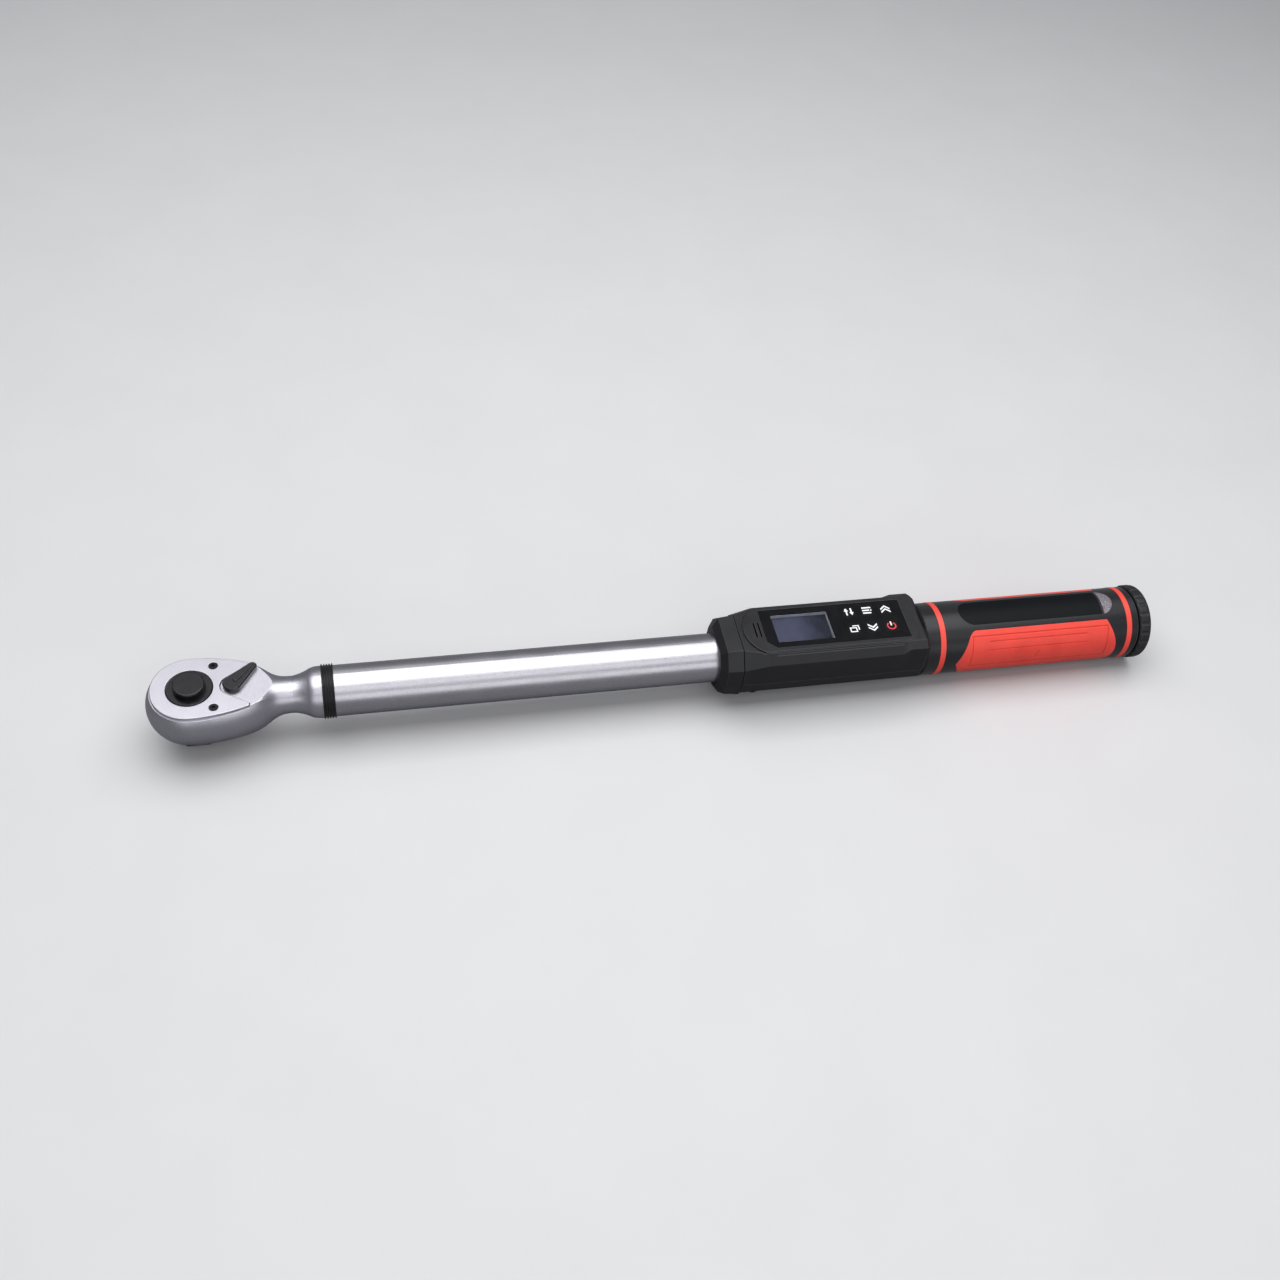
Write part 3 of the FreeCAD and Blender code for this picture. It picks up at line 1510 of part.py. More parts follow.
def make_cap_core():
    """The contact holder that the cap turns round, with its spring."""
    path = [
        ("insert_start - 0.2", "0"),
        ("insert_start - 0.2", "8.2"),
        ("insert_start + 1.4", "8.2"),
        ("insert_start + 1.4", "3.0"),
        ("cap_end - 7.4", "3.0"),
        ("cap_end - 7.4", "0"),
    ]
    keep("contact_holder", turned_piece("contact_holder", path))
    made = body("battery_spring")
    wire = circle(sketch(made, "XZ"), "484.2", "4.6", "0.45")
    coil(made, wire, "H_Axis", "1.9", "4.0")
    return keep("battery_spring", made)


def make_cap_seal():
    """The ring that seals the cap."""
    made = body("cap_seal")
    section = circle(sketch(made, "XZ"), "cap_start - 0.75", "stem_r + 0.75", "0.7")
    turned(made, section, "H_Axis")
    return keep("cap_seal", made)


# ---------------------------------------------------------------- build

def build():
    """Makes every piece of the wrench."""
    make_head()
    make_cover()
    make_cover_screws()
    make_drive_gear()
    make_gear_seal()
    make_release_button()
    make_release_pin()
    make_release_spring()
    make_detent_ball()
    make_lever()
    make_lever_shaft()
    make_lever_clip()
    make_lever_plunger()
    make_plunger_spring()
    make_pawl()
    make_beam()
    make_beam_plug()
    make_cross_pins()
    make_gauges()
    make_wire("gauge_cable", "waist_end - 4", "wire_slot_x", "7.2", False)
    make_wire("power_cable", "carrier_start - 1", "power_slot_x", "4", True)
    make_collar()
    make_tube()
    make_nose()
    make_housing_top()
    make_housing_bottom()
    make_housing_seal()
    make_housing_screws()
    make_panel()
    make_keys()
    make_display()
    make_switches()
    make_buzzer()
    make_chips()
    inlays = make_side_panels() + make_inlays() + make_bands()
    make_grip(inlays)
    make_battery_carrier()
    make_cells()
    make_front_contact()
    make_thread_insert()
    make_cap()
    make_cap_core()
    make_cap_seal()


def check():
    """Stops the build if any object failed or any piece is not sound."""
    doc.recompute()
    for item in doc.Objects:
        if "Invalid" in item.State or "Error" in item.State:
            raise RuntimeError(f"{item.Name} failed: {item.State}")
    for node, item in parts.items():
        if item.Shape.isNull() or not item.Shape.isValid() or not item.Shape.Solids:
            raise RuntimeError(f"{node} has no sound shape")


def write():
    """Writes each piece to its own STEP file."""
    os.makedirs("parts", exist_ok=True)
    for node, item in parts.items():
        item.Shape.exportStep(f"parts/{node}.step")


build()
check()
write()
print(len(parts), "pieces")
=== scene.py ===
import json
import math

import bmesh
import bpy
from mathutils import Matrix, Vector


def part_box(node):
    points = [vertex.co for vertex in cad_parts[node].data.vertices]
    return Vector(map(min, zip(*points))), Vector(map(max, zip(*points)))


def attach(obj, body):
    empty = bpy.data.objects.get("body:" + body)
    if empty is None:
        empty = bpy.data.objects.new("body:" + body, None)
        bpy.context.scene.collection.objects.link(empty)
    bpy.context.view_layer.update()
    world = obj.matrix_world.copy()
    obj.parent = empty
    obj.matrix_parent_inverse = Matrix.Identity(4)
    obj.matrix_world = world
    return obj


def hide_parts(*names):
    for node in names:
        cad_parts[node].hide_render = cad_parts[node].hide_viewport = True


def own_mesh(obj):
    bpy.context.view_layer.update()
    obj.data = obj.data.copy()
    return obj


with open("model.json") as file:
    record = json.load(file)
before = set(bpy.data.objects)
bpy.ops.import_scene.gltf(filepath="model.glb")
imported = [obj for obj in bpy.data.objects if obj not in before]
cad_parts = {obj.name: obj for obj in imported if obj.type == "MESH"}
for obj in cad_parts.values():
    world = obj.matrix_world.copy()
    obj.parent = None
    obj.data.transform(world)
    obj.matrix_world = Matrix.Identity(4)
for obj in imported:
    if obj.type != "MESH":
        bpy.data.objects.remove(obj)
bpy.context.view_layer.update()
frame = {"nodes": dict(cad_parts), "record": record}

MM = 0.001
SLOT_OF = {row["node"]: row["material_slot"] for row in frame["record"]["subparts"]}


# ---------------------------------------------------------------- node helpers

NOISE_SPAN = (0.3, 0.7)        # most of a noise's values lie in here
WIDE_SPAN = (0.3, 0.75)
EDGE_SPAN = (0.995, 0.80)      # cosine of the turn across a sharp edge
BEVEL_SAMPLES = 4


def colour(rgb):
    return (*rgb, 1.0)


def shade(rgb, factor, added=0.0):
    """A colour made darker or lighter."""
    return tuple(min(1.0, part * factor + added) for part in rgb)


class Material:
    """A node material built up by small steps."""

    def __init__(self, name):
        self.data = bpy.data.materials.new(name)
        self.data.use_nodes = True
        self.tree = self.data.node_tree
        self.shader = self.tree.nodes["Principled BSDF"]
        self.place = self.node("ShaderNodeTexCoord").outputs["Object"]

    def node(self, kind, **settings):
        made = self.tree.nodes.new(kind)
        for key, value in settings.items():
            setattr(made, key, value)
        return made

    def link(self, source, target):
        self.tree.links.new(source, target)

    def feed(self, target, value):
        """Sets an input to a number, a colour or another node's output."""
        if isinstance(value, bpy.types.NodeSocket):
            self.link(value, target)
        else:
            target.default_value = value

    def set(self, **inputs):
        """Sets the shader's inputs, named in lower case with underscores."""
        for key, value in inputs.items():
            name = key.replace("_", " ")
            socket = next(s for s in self.shader.inputs if s.name.lower() == name.lower())
            self.feed(socket, value)
        return self

    def math(self, operation, first, second):
        made = self.node("ShaderNodeMath", operation=operation)
        self.feed(made.inputs[0], first)
        self.feed(made.inputs[1], second)
        return made.outputs[0]

    def stretched(self, x, y, z):
        """Object coordinates scaled along each axis."""
        made = self.node("ShaderNodeMapping")
        made.inputs["Scale"].default_value = (x, y, z)
        self.link(self.place, made.inputs["Vector"])
        return made.outputs["Vector"]

    def noise(self, size_mm, detail, roughness=0.55, along=None):
        """Noise whose features are about size_mm across."""
        made = self.node("ShaderNodeTexNoise")
        scale = 1.0 / (size_mm * MM)
        made.inputs["Scale"].default_value = scale if along is None else 1.0
        made.inputs["Detail"].default_value = detail
        made.inputs["Roughness"].default_value = roughness
        vector = self.place if along is None else self.stretched(*[scale * a for a in along])
        self.link(vector, made.inputs["Vector"])
        return made.outputs["Fac"]

    def cells(self, size_mm):
        """Distance to the nearest of many scattered points."""
        made = self.node("ShaderNodeTexVoronoi")
        made.inputs["Scale"].default_value = 1.0 / (size_mm * MM)
        self.link(self.place, made.inputs["Vector"])
        return made.outputs["Distance"]

    def ramp(self, source, span=NOISE_SPAN, to=(0.0, 1.0)):
        """Maps a value from one range to another, clamped."""
        made = self.node("ShaderNodeMapRange")
        made.inputs["From Min"].default_value = span[0]
        made.inputs["From Max"].default_value = span[1]
        made.inputs["To Min"].default_value = to[0]
        made.inputs["To Max"].default_value = to[1]
        self.link(source, made.inputs["Value"])
        return made.outputs["Result"]

    def blend(self, factor, first, second):
        """Mixes two colours."""
        made = self.node("ShaderNodeMix", data_type="RGBA")
        self.feed(made.inputs[0], factor)
        self.feed(made.inputs[6], first)
        self.feed(made.inputs[7], second)
        return made.outputs[2]

    def tones(self, source, dark, light, span=NOISE_SPAN):
        """Two colours mixed by a noise."""
        return self.blend(self.ramp(source, span), colour(dark), colour(light))

    def soft_normal(self, radius_mm):
        """The normal as if sharp edges were rounded."""
        made = self.node("ShaderNodeBevel", samples=BEVEL_SAMPLES)
        made.inputs["Radius"].default_value = radius_mm * MM
        return made.outputs["Normal"]

    def edges(self, radius_mm, share=None):
        """How close a point is to a sharp edge, from 0 to 1, or to the share."""
        hard = self.node("ShaderNodeNewGeometry").outputs["Normal"]
        dot = self.node("ShaderNodeVectorMath", operation="DOT_PRODUCT")
        self.link(self.soft_normal(radius_mm), dot.inputs[0])
        self.link(hard, dot.inputs[1])
        near = self.ramp(dot.outputs["Value"], EDGE_SPAN)
        return near if share is None else self.math("MULTIPLY", near, share)

    def heap(self, first, first_share, second, second_share):
        """A height made of two patterns."""
        return self.math(
            "ADD",
            self.math("MULTIPLY", first, first_share),
            self.math("MULTIPLY", second, second_share),
        )

    def bump(self, height, strength, distance_mm, soft_edge_mm=None):
        """Feeds the shader's normal from a height, over rounded edges."""
        made = self.node("ShaderNodeBump")
        made.inputs["Strength"].default_value = strength
        made.inputs["Distance"].default_value = distance_mm * MM
        self.link(height, made.inputs["Height"])
        if soft_edge_mm:
            self.link(self.soft_normal(soft_edge_mm), made.inputs["Normal"])
        self.link(made.outputs["Normal"], self.shader.inputs["Normal"])
        return self


# ---------------------------------------------------------------- materials

def satin_chrome():
    """Forged head: satin plate with a soft blasted grain and polished edges."""
    made = Material("satin_chrome")
    grain = made.noise(size_mm=0.55, detail=5.0)
    cloud = made.noise(size_mm=9.0, detail=3.0)
    pale_edge = made.edges(radius_mm=0.5)
    cloudy = made.ramp(cloud, (0.35, 0.7), (0.34, 0.41))
    rough = made.math("ADD", cloudy, made.ramp(grain, to=(-0.03, 0.04)))
    rough = made.math("SUBTRACT", rough, made.math("MULTIPLY", pale_edge, 0.08))
    tint = made.tones(cloud, (0.50, 0.49, 0.54), (0.57, 0.56, 0.61), WIDE_SPAN)
    tint = made.blend(made.ramp(grain, (0.35, 0.7)), tint, colour((0.62, 0.61, 0.66)))
    tint = made.blend(pale_edge, tint, colour((0.80, 0.80, 0.83)))
    made.set(base_color=tint, metallic=1.0, roughness=rough)
    return made.bump(grain, strength=0.3, distance_mm=0.05, soft_edge_mm=0.35).data


def tube_chrome():
    """Tube: satin plate with fine polishing lines and a slight shimmer."""
    made = Material("tube_chrome")
    lines = made.noise(size_mm=0.22, detail=5.0, along=(0.06, 1.0, 1.0))
    grain = made.noise(size_mm=0.7, detail=4.0)
    cloud = made.noise(size_mm=16.0, detail=2.0)
    cloudy = made.ramp(cloud, to=(0.29, 0.35))
    rough = made.math("ADD", cloudy, made.ramp(lines, to=(-0.01, 0.03)))
    tint = made.tones(grain, (0.52, 0.51, 0.55), (0.62, 0.61, 0.65))
    made.set(base_color=tint, metallic=1.0, roughness=rough, anisotropic=0.25)
    height = made.heap(lines, 0.3, grain, 0.7)
    return made.bump(height, strength=0.28, distance_mm=0.04, soft_edge_mm=0.2).data


def black_steel():
    """Drive and button: black phosphate, rubbed bright on the edges."""
    made = Material("black_steel")
    grain = made.noise(size_mm=0.3, detail=4.0)
    patch = made.noise(size_mm=5.0, detail=4.0)
    pale_edge = made.edges(radius_mm=0.35, share=made.ramp(patch, (0.3, 0.65), (0.25, 1.0)))
    base = made.tones(patch, (0.010, 0.0095, 0.012), (0.022, 0.021, 0.026))
    made.set(
        base_color=made.blend(pale_edge, base, colour((0.16, 0.155, 0.17))),
        metallic=0.3,
        roughness=made.ramp(grain, to=(0.2, 0.32)),
        coat_weight=0.35,
        coat_roughness=0.15,
    )
    return made.bump(grain, strength=0.25, distance_mm=0.04, soft_edge_mm=0.3).data


def lever_black():
    """The reversing lever: glossy black enamel, paler on its ridges: worn enamel and a painted
    highlight.
    """
    made = Material("lever_black")
    flow = made.noise(size_mm=1.6, detail=3.0)
    # Ridges paled to grey: worn enamel, and a painted highlight on the ridges.
    pale_edge = made.edges(radius_mm=0.55, share=0.8)
    made.set(
        base_color=made.blend(pale_edge, colour((0.009, 0.009, 0.011)), colour((0.20, 0.20, 0.22))),
        roughness=made.ramp(flow, to=(0.12, 0.2)),
        coat_weight=0.6,
        coat_roughness=0.06,
    )
    return made.bump(flow, strength=0.12, distance_mm=0.03, soft_edge_mm=0.35).data


def bare_steel(name, base, rough, metallic=1.0):
    """Ground or drawn metal for inner parts."""
    made = Material(name)
    lines = made.noise(size_mm=0.25, detail=4.0, along=(0.15, 1.0, 1.0))
    made.set(
        base_color=made.tones(lines, shade(base, 0.85), base),
        metallic=metallic,
        roughness=made.ramp(lines, to=(rough - 0.05, rough + 0.07)),
    )
    return made.bump(lines, strength=0.2, distance_mm=0.03, soft_edge_mm=0.2).data


def moulded(name, base, rough, grain_mm=0.35, strength=0.35, edge_mm=0.35,
            lift=1.5, spec=0.5, wear_and_highlight=0.5):
    """Moulded plastic with an eroded grain, paler on its sharp edges: rubbed wear, and where lift
    is large also a painted highlight line.
    """
    made = Material(name)
    grain = made.noise(grain_mm, detail=3.0)
    pits = made.cells(grain_mm * 1.4)
    dust = made.noise(size_mm=11.0, detail=4.0)
    # Sharp edges paled: rubbed wear, and with a large lift a painted highlight along the edge.
    pale_edge = made.edges(edge_mm, share=wear_and_highlight)
    tone = made.tones(dust, shade(base, 0.88), shade(base, 1.12), WIDE_SPAN)
    dusty = made.ramp(dust, to=(rough - 0.04, rough + 0.04))
    made.set(
        base_color=made.blend(pale_edge, tone, colour(shade(base, lift, added=0.02))),
        roughness=made.math("ADD", dusty, made.ramp(grain, to=(-0.03, 0.03))),
        specular_ior_level=spec,
    )
    return made.bump(made.heap(grain, 0.6, pits, 0.5), strength, 0.06, edge_mm).data


def soft_rubber(name, base, rough, sheen=0.25, grain_mm=0.5):
    """Thermoplastic rubber: matte, with a slight bloom at grazing angles."""
    made = Material(name)
    grain = made.noise(grain_mm, detail=3.0)
    skin = made.cells(grain_mm * 1.3)
    cloud = made.noise(size_mm=14.0, detail=4.0)
    made.set(
        base_color=made.tones(cloud, shade(base, 0.9), shade(base, 1.1), WIDE_SPAN),
        roughness=made.ramp(cloud, to=(rough - 0.05, rough + 0.05)),
        sheen_weight=sheen,
        sheen_roughness=0.4,
        specular_ior_level=0.45,
    )
    height = made.heap(grain, 0.5, skin, 0.6)
    return made.bump(height, strength=0.4, distance_mm=0.06, soft_edge_mm=0.3).data


def gloss(name, base, rough=0.07):
    """Polished plastic with faint finger marks."""
    made = Material(name)
    smudge = made.noise(size_mm=7.0, detail=5.0, roughness=0.65)
    fine = made.noise(size_mm=0.8, detail=3.0)
    made.set(
        base_color=made.tones(smudge, base, shade(base, 1.0, added=0.006), (0.3, 0.8)),
        roughness=made.ramp(smudge, (0.35, 0.8), (rough, rough + 0.1)),
        coat_weight=0.4,
        coat_roughness=0.05,
    )
    return made.bump(fine, strength=0.05, distance_mm=0.01, soft_edge_mm=0.15).data


def speckled():
    """Badge: grey plastic with dark and light flecks."""
    made = Material("badge_plastic")
    fleck = made.noise(size_mm=0.6, detail=2.0)
    coarse = made.cells(size_mm=0.9)
    tone = made.tones(fleck, (0.16, 0.145, 0.165), (0.36, 0.33, 0.36), (0.42, 0.62))
    tone = made.blend(made.ramp(coarse, (0.25, 0.1)), tone, colour((0.48, 0.45, 0.48)))
    made.set(base_color=tone, roughness=made.ramp(fleck, to=(0.35, 0.5)), metallic=0.2)
    return made.bump(fleck, strength=0.4, distance_mm=0.06, soft_edge_mm=0.2).data


def screen_glass():
    """The display: a blue grey liquid crystal cell, switched off, with a painted reflection:
    lighter at the left and darker towards the keys."""
    made = Material("lcd_glass")
    low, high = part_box("display_window")
    axis = made.node("ShaderNodeSeparateXYZ")
    made.link(made.place, axis.inputs[0])
    # Lighter at the left and darker at the right, broken up by a noise: a painted reflection.
    across = made.ramp(axis.outputs["X"], (low.x, high.x))
    cloud = made.noise(size_mm=12.0, detail=3.0)
    share = made.math("ADD", across, made.ramp(cloud, to=(-0.12, 0.12)))
    tone = made.tones(share, (0.105, 0.107, 0.15), (0.03, 0.032, 0.045), (0.45, 0.85))
    lines = made.noise(size_mm=0.3, detail=1.0, along=(1.0, 0.02, 1.0))
    made.set(base_color=tone, roughness=made.ramp(lines, to=(0.2, 0.28)), coat_weight=0.6)
    return made.bump(lines, strength=0.05, distance_mm=0.01).data


def window_glass():
    """The clear hard-coated window over the display."""
    made = Material("window_glass")
    smudge = made.noise(size_mm=6.0, detail=4.0)
    made.set(
        base_color=colour((0.92, 0.94, 1.0)),
        roughness=made.ramp(smudge, (0.3, 0.8), (0.02, 0.09)),
        transmission_weight=1.0,
        ior=1.2,
    )
    return made.data


def printed_ink(name, base, painted_glow):
    """Printed icons: matt ink with a slightly broken surface, made to glow faintly as painted
    light.
    """
    made = Material(name)
    grain = made.noise(size_mm=0.25, detail=3.0)
    made.set(
        base_color=made.tones(grain, shade(base, 0.85), base),
        roughness=made.ramp(grain, to=(0.45, 0.6)),
        # The ink emits a little light of its own colour: a painted glow, not a lamp.
        emission_color=colour(base),
        emission_strength=painted_glow,
    )
    return made.bump(grain, strength=0.1, distance_mm=0.01).data


def metals():
    return {
        "satin_chrome": satin_chrome(),
        "tube_chrome": tube_chrome(),
        "black_steel": black_steel(),
        "screw_black": bare_steel("screw_black", (0.035, 0.034, 0.04), 0.42, metallic=0.7),
        "plain_steel": bare_steel("plain_steel", (0.56, 0.56, 0.57), 0.33),
        "spring_steel": bare_steel("spring_steel", (0.45, 0.45, 0.47), 0.3),
        "ball_steel": bare_steel("ball_steel", (0.8, 0.8, 0.82), 0.12),
        "gauge_foil": bare_steel("gauge_foil", (0.72, 0.45, 0.2), 0.35),
        "contact_brass": bare_steel("contact_brass", (0.70, 0.55, 0.28), 0.3),
    }


def rubbers():
    return {
        "cable": soft_rubber("cable", (0.02, 0.02, 0.022), 0.6),
        "collar_rubber": soft_rubber(
            "collar_rubber", (0.024, 0.023, 0.027), 0.32, sheen=0.1, grain_mm=0.25),
        "seal_rubber": soft_rubber("seal_rubber", (0.012, 0.012, 0.013), 0.6),
        "grip_rubber": soft_rubber("grip_rubber", (0.026, 0.026, 0.030), 0.31),
        "coral_rubber": soft_rubber("coral_rubber", (0.96, 0.105, 0.078), 0.36, sheen=0.1),
    }


def plastics():
    return {
        # The case and the cap get strongly paled edges: painted highlight lines along their edges,
        # as well as wear.
        "case_plastic": moulded(
            "case_plastic", (0.023, 0.023, 0.027), 0.34, edge_mm=0.6, lift=5.0, wear_and_highlight=0.8),
        "cap_plastic": moulded(
            "cap_plastic", (0.032, 0.032, 0.037), 0.34, edge_mm=0.5, lift=4.0, wear_and_highlight=0.7),
        "strip_plastic": moulded(
            "strip_plastic", (0.008, 0.010, 0.012), 0.5, grain_mm=0.25, strength=0.2, spec=0.2),
        "white_plastic": moulded("white_plastic", (0.6, 0.6, 0.6), 0.5, lift=1.0),
        "black_plastic": moulded("black_plastic", (0.018, 0.018, 0.02), 0.5),
        "board": moulded("board", (0.012, 0.09, 0.045), 0.35, strength=0.1),
        "panel_gloss": gloss("panel_gloss", (0.006, 0.006, 0.008)),
        "key_gloss": gloss("key_gloss", (0.008, 0.008, 0.010), 0.1),
        "cell_wrap": gloss("cell_wrap", (0.10, 0.11, 0.13), 0.25),
        "badge_plastic": speckled(),
        "window_glass": window_glass(),
        "lcd_glass": screen_glass(),
    }


def dress_nodes():
    """Gives every CAD node the look of its slot, and the lever one of its own."""
    looks = metals() | rubbers() | plastics()
    for node, shape in frame["nodes"].items():
        shape.data.materials.clear()
        shape.data.materials.append(looks[SLOT_OF[node]])
    frame["nodes"]["reverse_lever"].data.materials[0] = lever_black()


# ---------------------------------------------------------------- release spring


def add_spring():
    """The coil under the button, as a copy carried by the drive."""
    still = frame["nodes"]["release_spring"]
    made = bpy.data.objects.new("button_spring", still.data.copy())
    bpy.context.scene.collection.objects.link(made)
    made.matrix_world = still.matrix_world.copy()
    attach(made, "drive")
    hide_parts("release_spring")
    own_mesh(made)


# ---------------------------------------------------------------- printed icons

INK_HEIGHT = 0.06


def bar(x_low, y_low, x_high, y_high):
    return [(x_low, y_low), (x_high, y_low), (x_high, y_high), (x_low, y_high)]


def chevron(x, y, half, rise, thick):
    """A bent bar that points up, or down when rise is negative."""
    return [
        (x - half, y),
        (x - half, y - thick),
        (x, y + rise - thick),
        (x + half, y - thick),
        (x + half, y),
        (x, y + rise),
    ]


def double_chevron(top, rise):
    """Two chevrons, one 2 mm under the other."""
    return [chevron(0.0, y, 2.6, rise, 1.15) for y in (top, top - 2.0)]


def arrow(x, tail, tip):
    """A vertical arrow from its tail to its tip."""
    half = 1.25
    stem = 0.45
    neck = tip - math.copysign(1.7 * half, tip - tail)
    return [
        (x - stem, tail),
        (x + stem, tail),
        (x + stem, neck),
        (x + half, neck),
        (x, tip),
        (x - half, neck),
        (x - stem, neck),
    ]


def arc_band(radius, width, start, end, steps=28):
    """A bent band round the origin, from one angle to another in degrees."""
    angles = [math.radians(start + (end - start) * n / steps) for n in range(steps + 1)]

    def side(reach):
        return [(math.cos(a) * reach, math.sin(a) * reach) for a in angles]

    return side(radius + width / 2) + side(radius - width / 2)[::-1]


def sheet(x_low, y_low, x_high, y_high, line):
    """The four bars of a rectangle's outline."""
    return [
        bar(x_low, y_low, x_high, y_low + line),
        bar(x_low, y_high - line, x_high, y_high),
        bar(x_low, y_low + line, x_low + line, y_high - line),
        bar(x_high - line, y_low + line, x_high, y_high - line),
    ]


# The outlines on each key, in millimetres from its centre.
ICONS = {
    "unit": [arrow(-1.3, tail=-2.4, tip=2.5), arrow(1.5, tail=2.4, tip=-2.5)],
    "mode": [
        bar(-2.6, 1.3, 2.6, 2.3),
        bar(-2.6, -0.5, 1.4, 0.5),
        bar(-2.6, -2.3, 2.0, -1.3),
        bar(2.0, -0.5, 2.6, 0.5),
    ],
    "up": double_chevron(top=0.4, rise=2.1),
    "memory": sheet(-2.7, -2.3, 1.3, 1.0, line=0.7) + [
        bar(-0.9, 1.6, 2.7, 2.3),
        bar(2.0, -0.9, 2.7, 1.6),
    ],
    "down": double_chevron(top=2.6, rise=-2.1),
}
POWER_RING = [arc_band(2.2, 0.8, 125, 415)]
POWER_BAR = [bar(-0.42, 0.2, 0.42, 2.9)]


def add_ink(name, key, outlines, ink):
    """Printed ink: thin flat solids on top of a key, moving with that key."""
    low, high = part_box("key_" + key)
    centre = (low + high) / 2
    mesh = bmesh.new()
    for outline in outlines:
        ring = [mesh.verts.new((centre.x + x * MM, centre.y + y * MM, high.z)) for x, y in outline]
        lid = mesh.faces.new(ring)
        bmesh.ops.recalc_face_normals(mesh, faces=[lid])
        raised = bmesh.ops.extrude_face_region(mesh, geom=[lid])
        top = [item for item in raised["geom"] if isinstance(item, bmesh.types.BMVert)]
        bmesh.ops.translate(mesh, verts=top, vec=(0, 0, INK_HEIGHT * MM))
    bmesh.ops.recalc_face_normals(mesh, faces=mesh.faces)
    data = bpy.data.meshes.new(name)
    mesh.to_mesh(data)
    mesh.free()
    made = bpy.data.objects.new(name, data)
    bpy.context.scene.collection.objects.link(made)
    data.materials.append(ink)
    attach(made, key + "_key")


def add_icons():
    """One plain pictogram on each key."""
    white = printed_ink("ink_white", (0.86, 0.87, 0.89), painted_glow=0.12)
    red = printed_ink("ink_red", (0.72, 0.07, 0.08), painted_glow=0.1)
    for key, outlines in ICONS.items():
        add_ink("icon_" + key, key, outlines, white)
    add_ink("icon_power_ring", "power", POWER_RING, red)
    add_ink("icon_power_bar", "power", POWER_BAR, white)


# ---------------------------------------------------------------- floor

FLOOR_HALF = 6.0
FLOOR_DARK = (0.66, 0.66, 0.67)
FLOOR_LIGHT = (0.70, 0.70, 0.71)
FLOOR_IN_REFLECTIONS = (0.24, 0.24, 0.25)


def either(made, choice, first, second):
    """One of two surfaces, as choice says: 0 for the first, 1 for the second."""
    both = made.node("ShaderNodeMixShader")
    made.link(choice, both.inputs[0])
    made.link(first, both.inputs[1])
    made.link(second, both.inputs[2])
    return both.outputs["Shader"]


def floor_paint():
    """Pale to the camera, dark in the object's reflections, and clear to a
    camera under the floor."""
    made = Material("floor_paint")
    mottle = made.noise(size_mm=60.0, detail=3.0)
    made.set(
        base_color=made.blend(mottle, colour(FLOOR_DARK), colour(FLOOR_LIGHT)),
        roughness=0.7,
    )
    dark = made.node("ShaderNodeBsdfDiffuse")
    dark.inputs["Color"].default_value = colour(FLOOR_IN_REFLECTIONS)
    seen = made.node("ShaderNodeLightPath").outputs["Is Camera Ray"]
    behind = made.node("ShaderNodeNewGeometry").outputs["Backfacing"]
    clear = made.node("ShaderNodeBsdfTransparent").outputs["BSDF"]
    paint = either(made, seen, dark.outputs["BSDF"], made.shader.outputs["BSDF"])
    surface = either(made, behind, paint, clear)
    made.link(surface, made.tree.nodes["Material Output"].inputs["Surface"])
    return made.data


def add_floor():
    """A floor that touches the square's end and the end cap's rim."""
    square_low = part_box("drive_gear")[0].z
    cap_low, cap_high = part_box("end_cap")
    slope = math.atan2(cap_low.z - square_low, cap_high.x)
    half = FLOOR_HALF
    corners = [(-half, -half, 0), (half, -half, 0), (half, half, 0), (-half, half, 0)]
    mesh = bpy.data.meshes.new("floor")
    mesh.from_pydata(corners, [], [(0, 1, 2, 3)])
    mesh.materials.append(floor_paint())
    floor = bpy.data.objects.new("floor", mesh)
    floor.location = (0, 0, square_low)
    floor.rotation_euler = (0, -slope, 0)
    bpy.context.scene.collection.objects.link(floor)


# ---------------------------------------------------------------- studio

MIDDLE = (0.25, 0.0, 0.0)
SKY = (0.93, 0.95, 1.0)
SKY_STRENGTH = 0.2

# The camera stands on the near side and above, with a slight roll.
AZIMUTH = math.radians(-18.104)
ELEVATION = math.radians(48.879)
ROLL = math.radians(9.01)
CAMERA_MM = (73.1, -456.4, 569.3)
LENS_MM = 40.25
SENSOR_MM = 36.0


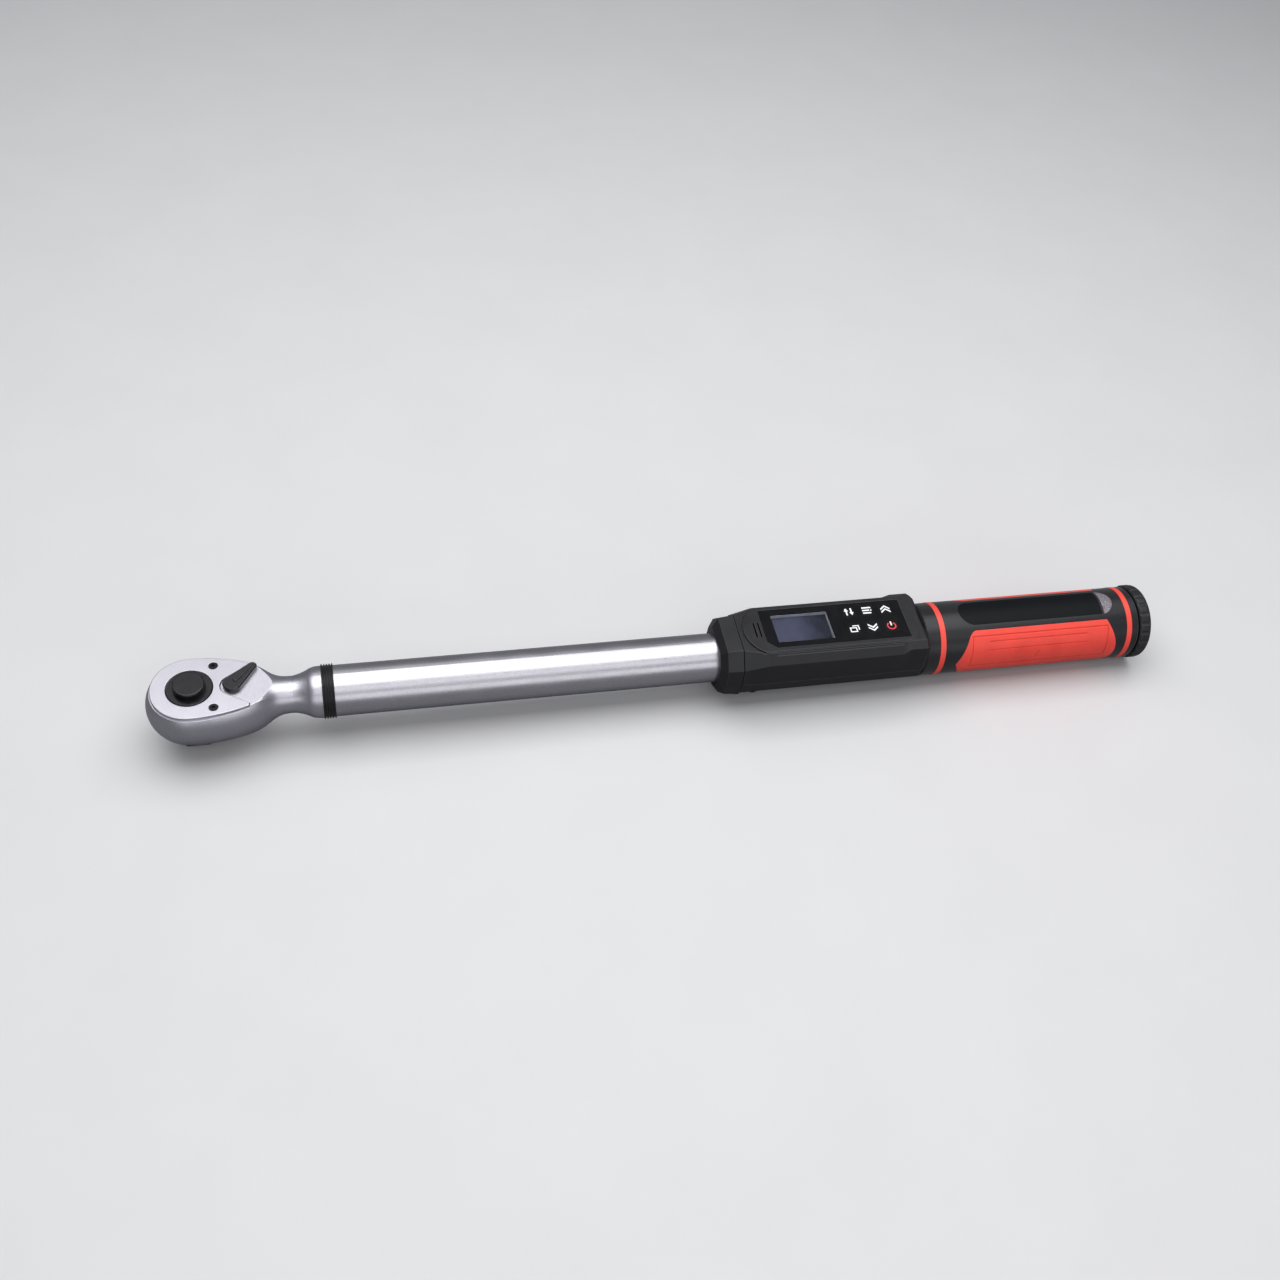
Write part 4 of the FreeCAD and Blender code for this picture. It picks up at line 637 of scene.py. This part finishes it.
def add_area(name, place, aim, width, height, watts):
    """A rectangular soft light that points at aim."""
    lamp = bpy.data.lights.new(name, "AREA")
    lamp.shape = "RECTANGLE"
    lamp.size = width
    lamp.size_y = height
    lamp.energy = watts
    shown = bpy.data.objects.new(name, lamp)
    shown.location = place
    shown.rotation_euler = (Vector(aim) - Vector(place)).to_track_quat("-Z", "Y").to_euler()
    bpy.context.scene.collection.objects.link(shown)


def add_lights():
    """One wide softbox overhead, three weaker ones and a pale sky."""
    add_area("key", (0.25, 0.12, 1.0), MIDDLE, width=1.6, height=0.95, watts=10.0)
    add_area("back", (-0.15, 0.8, 0.95), (0.0, 0.0, 0.0), width=0.9, height=0.5, watts=0.8)
    add_area("front", (0.25, -0.72, 0.9), MIDDLE, width=1.6, height=0.45, watts=2.2)
    add_area("low", (0.2, -1.05, 0.33), MIDDLE, width=1.8, height=0.5, watts=2.6)
    world = bpy.data.worlds.new("studio")
    world.use_nodes = True
    sky = world.node_tree.nodes["Background"]
    sky.inputs["Color"].default_value = colour(SKY)
    sky.inputs["Strength"].default_value = SKY_STRENGTH
    bpy.context.scene.world = world
    bpy.context.scene.view_settings.view_transform = "Standard"
    bpy.context.scene.view_settings.look = "Medium High Contrast"


def add_camera():
    """The photograph's viewing angle."""
    forward = Vector((
        -math.sin(AZIMUTH) * math.cos(ELEVATION),
        math.cos(AZIMUTH) * math.cos(ELEVATION),
        -math.sin(ELEVATION),
    ))
    level = forward.cross(Vector((0, 0, 1))).normalized()
    up = level.cross(forward)
    right = level * math.cos(ROLL) + up * math.sin(ROLL)
    top = up * math.cos(ROLL) - level * math.sin(ROLL)
    turn = Matrix((right, top, -forward)).transposed().to_4x4()
    lens = bpy.data.cameras.new("camera")
    lens.sensor_width = SENSOR_MM
    lens.lens = LENS_MM
    camera = bpy.data.objects.new("camera", lens)
    camera.matrix_world = Matrix.Translation(Vector(CAMERA_MM) * MM) @ turn
    bpy.context.scene.collection.objects.link(camera)
    bpy.context.scene.camera = camera


dress_nodes()
add_spring()
add_icons()
add_floor()
add_lights()
add_camera()
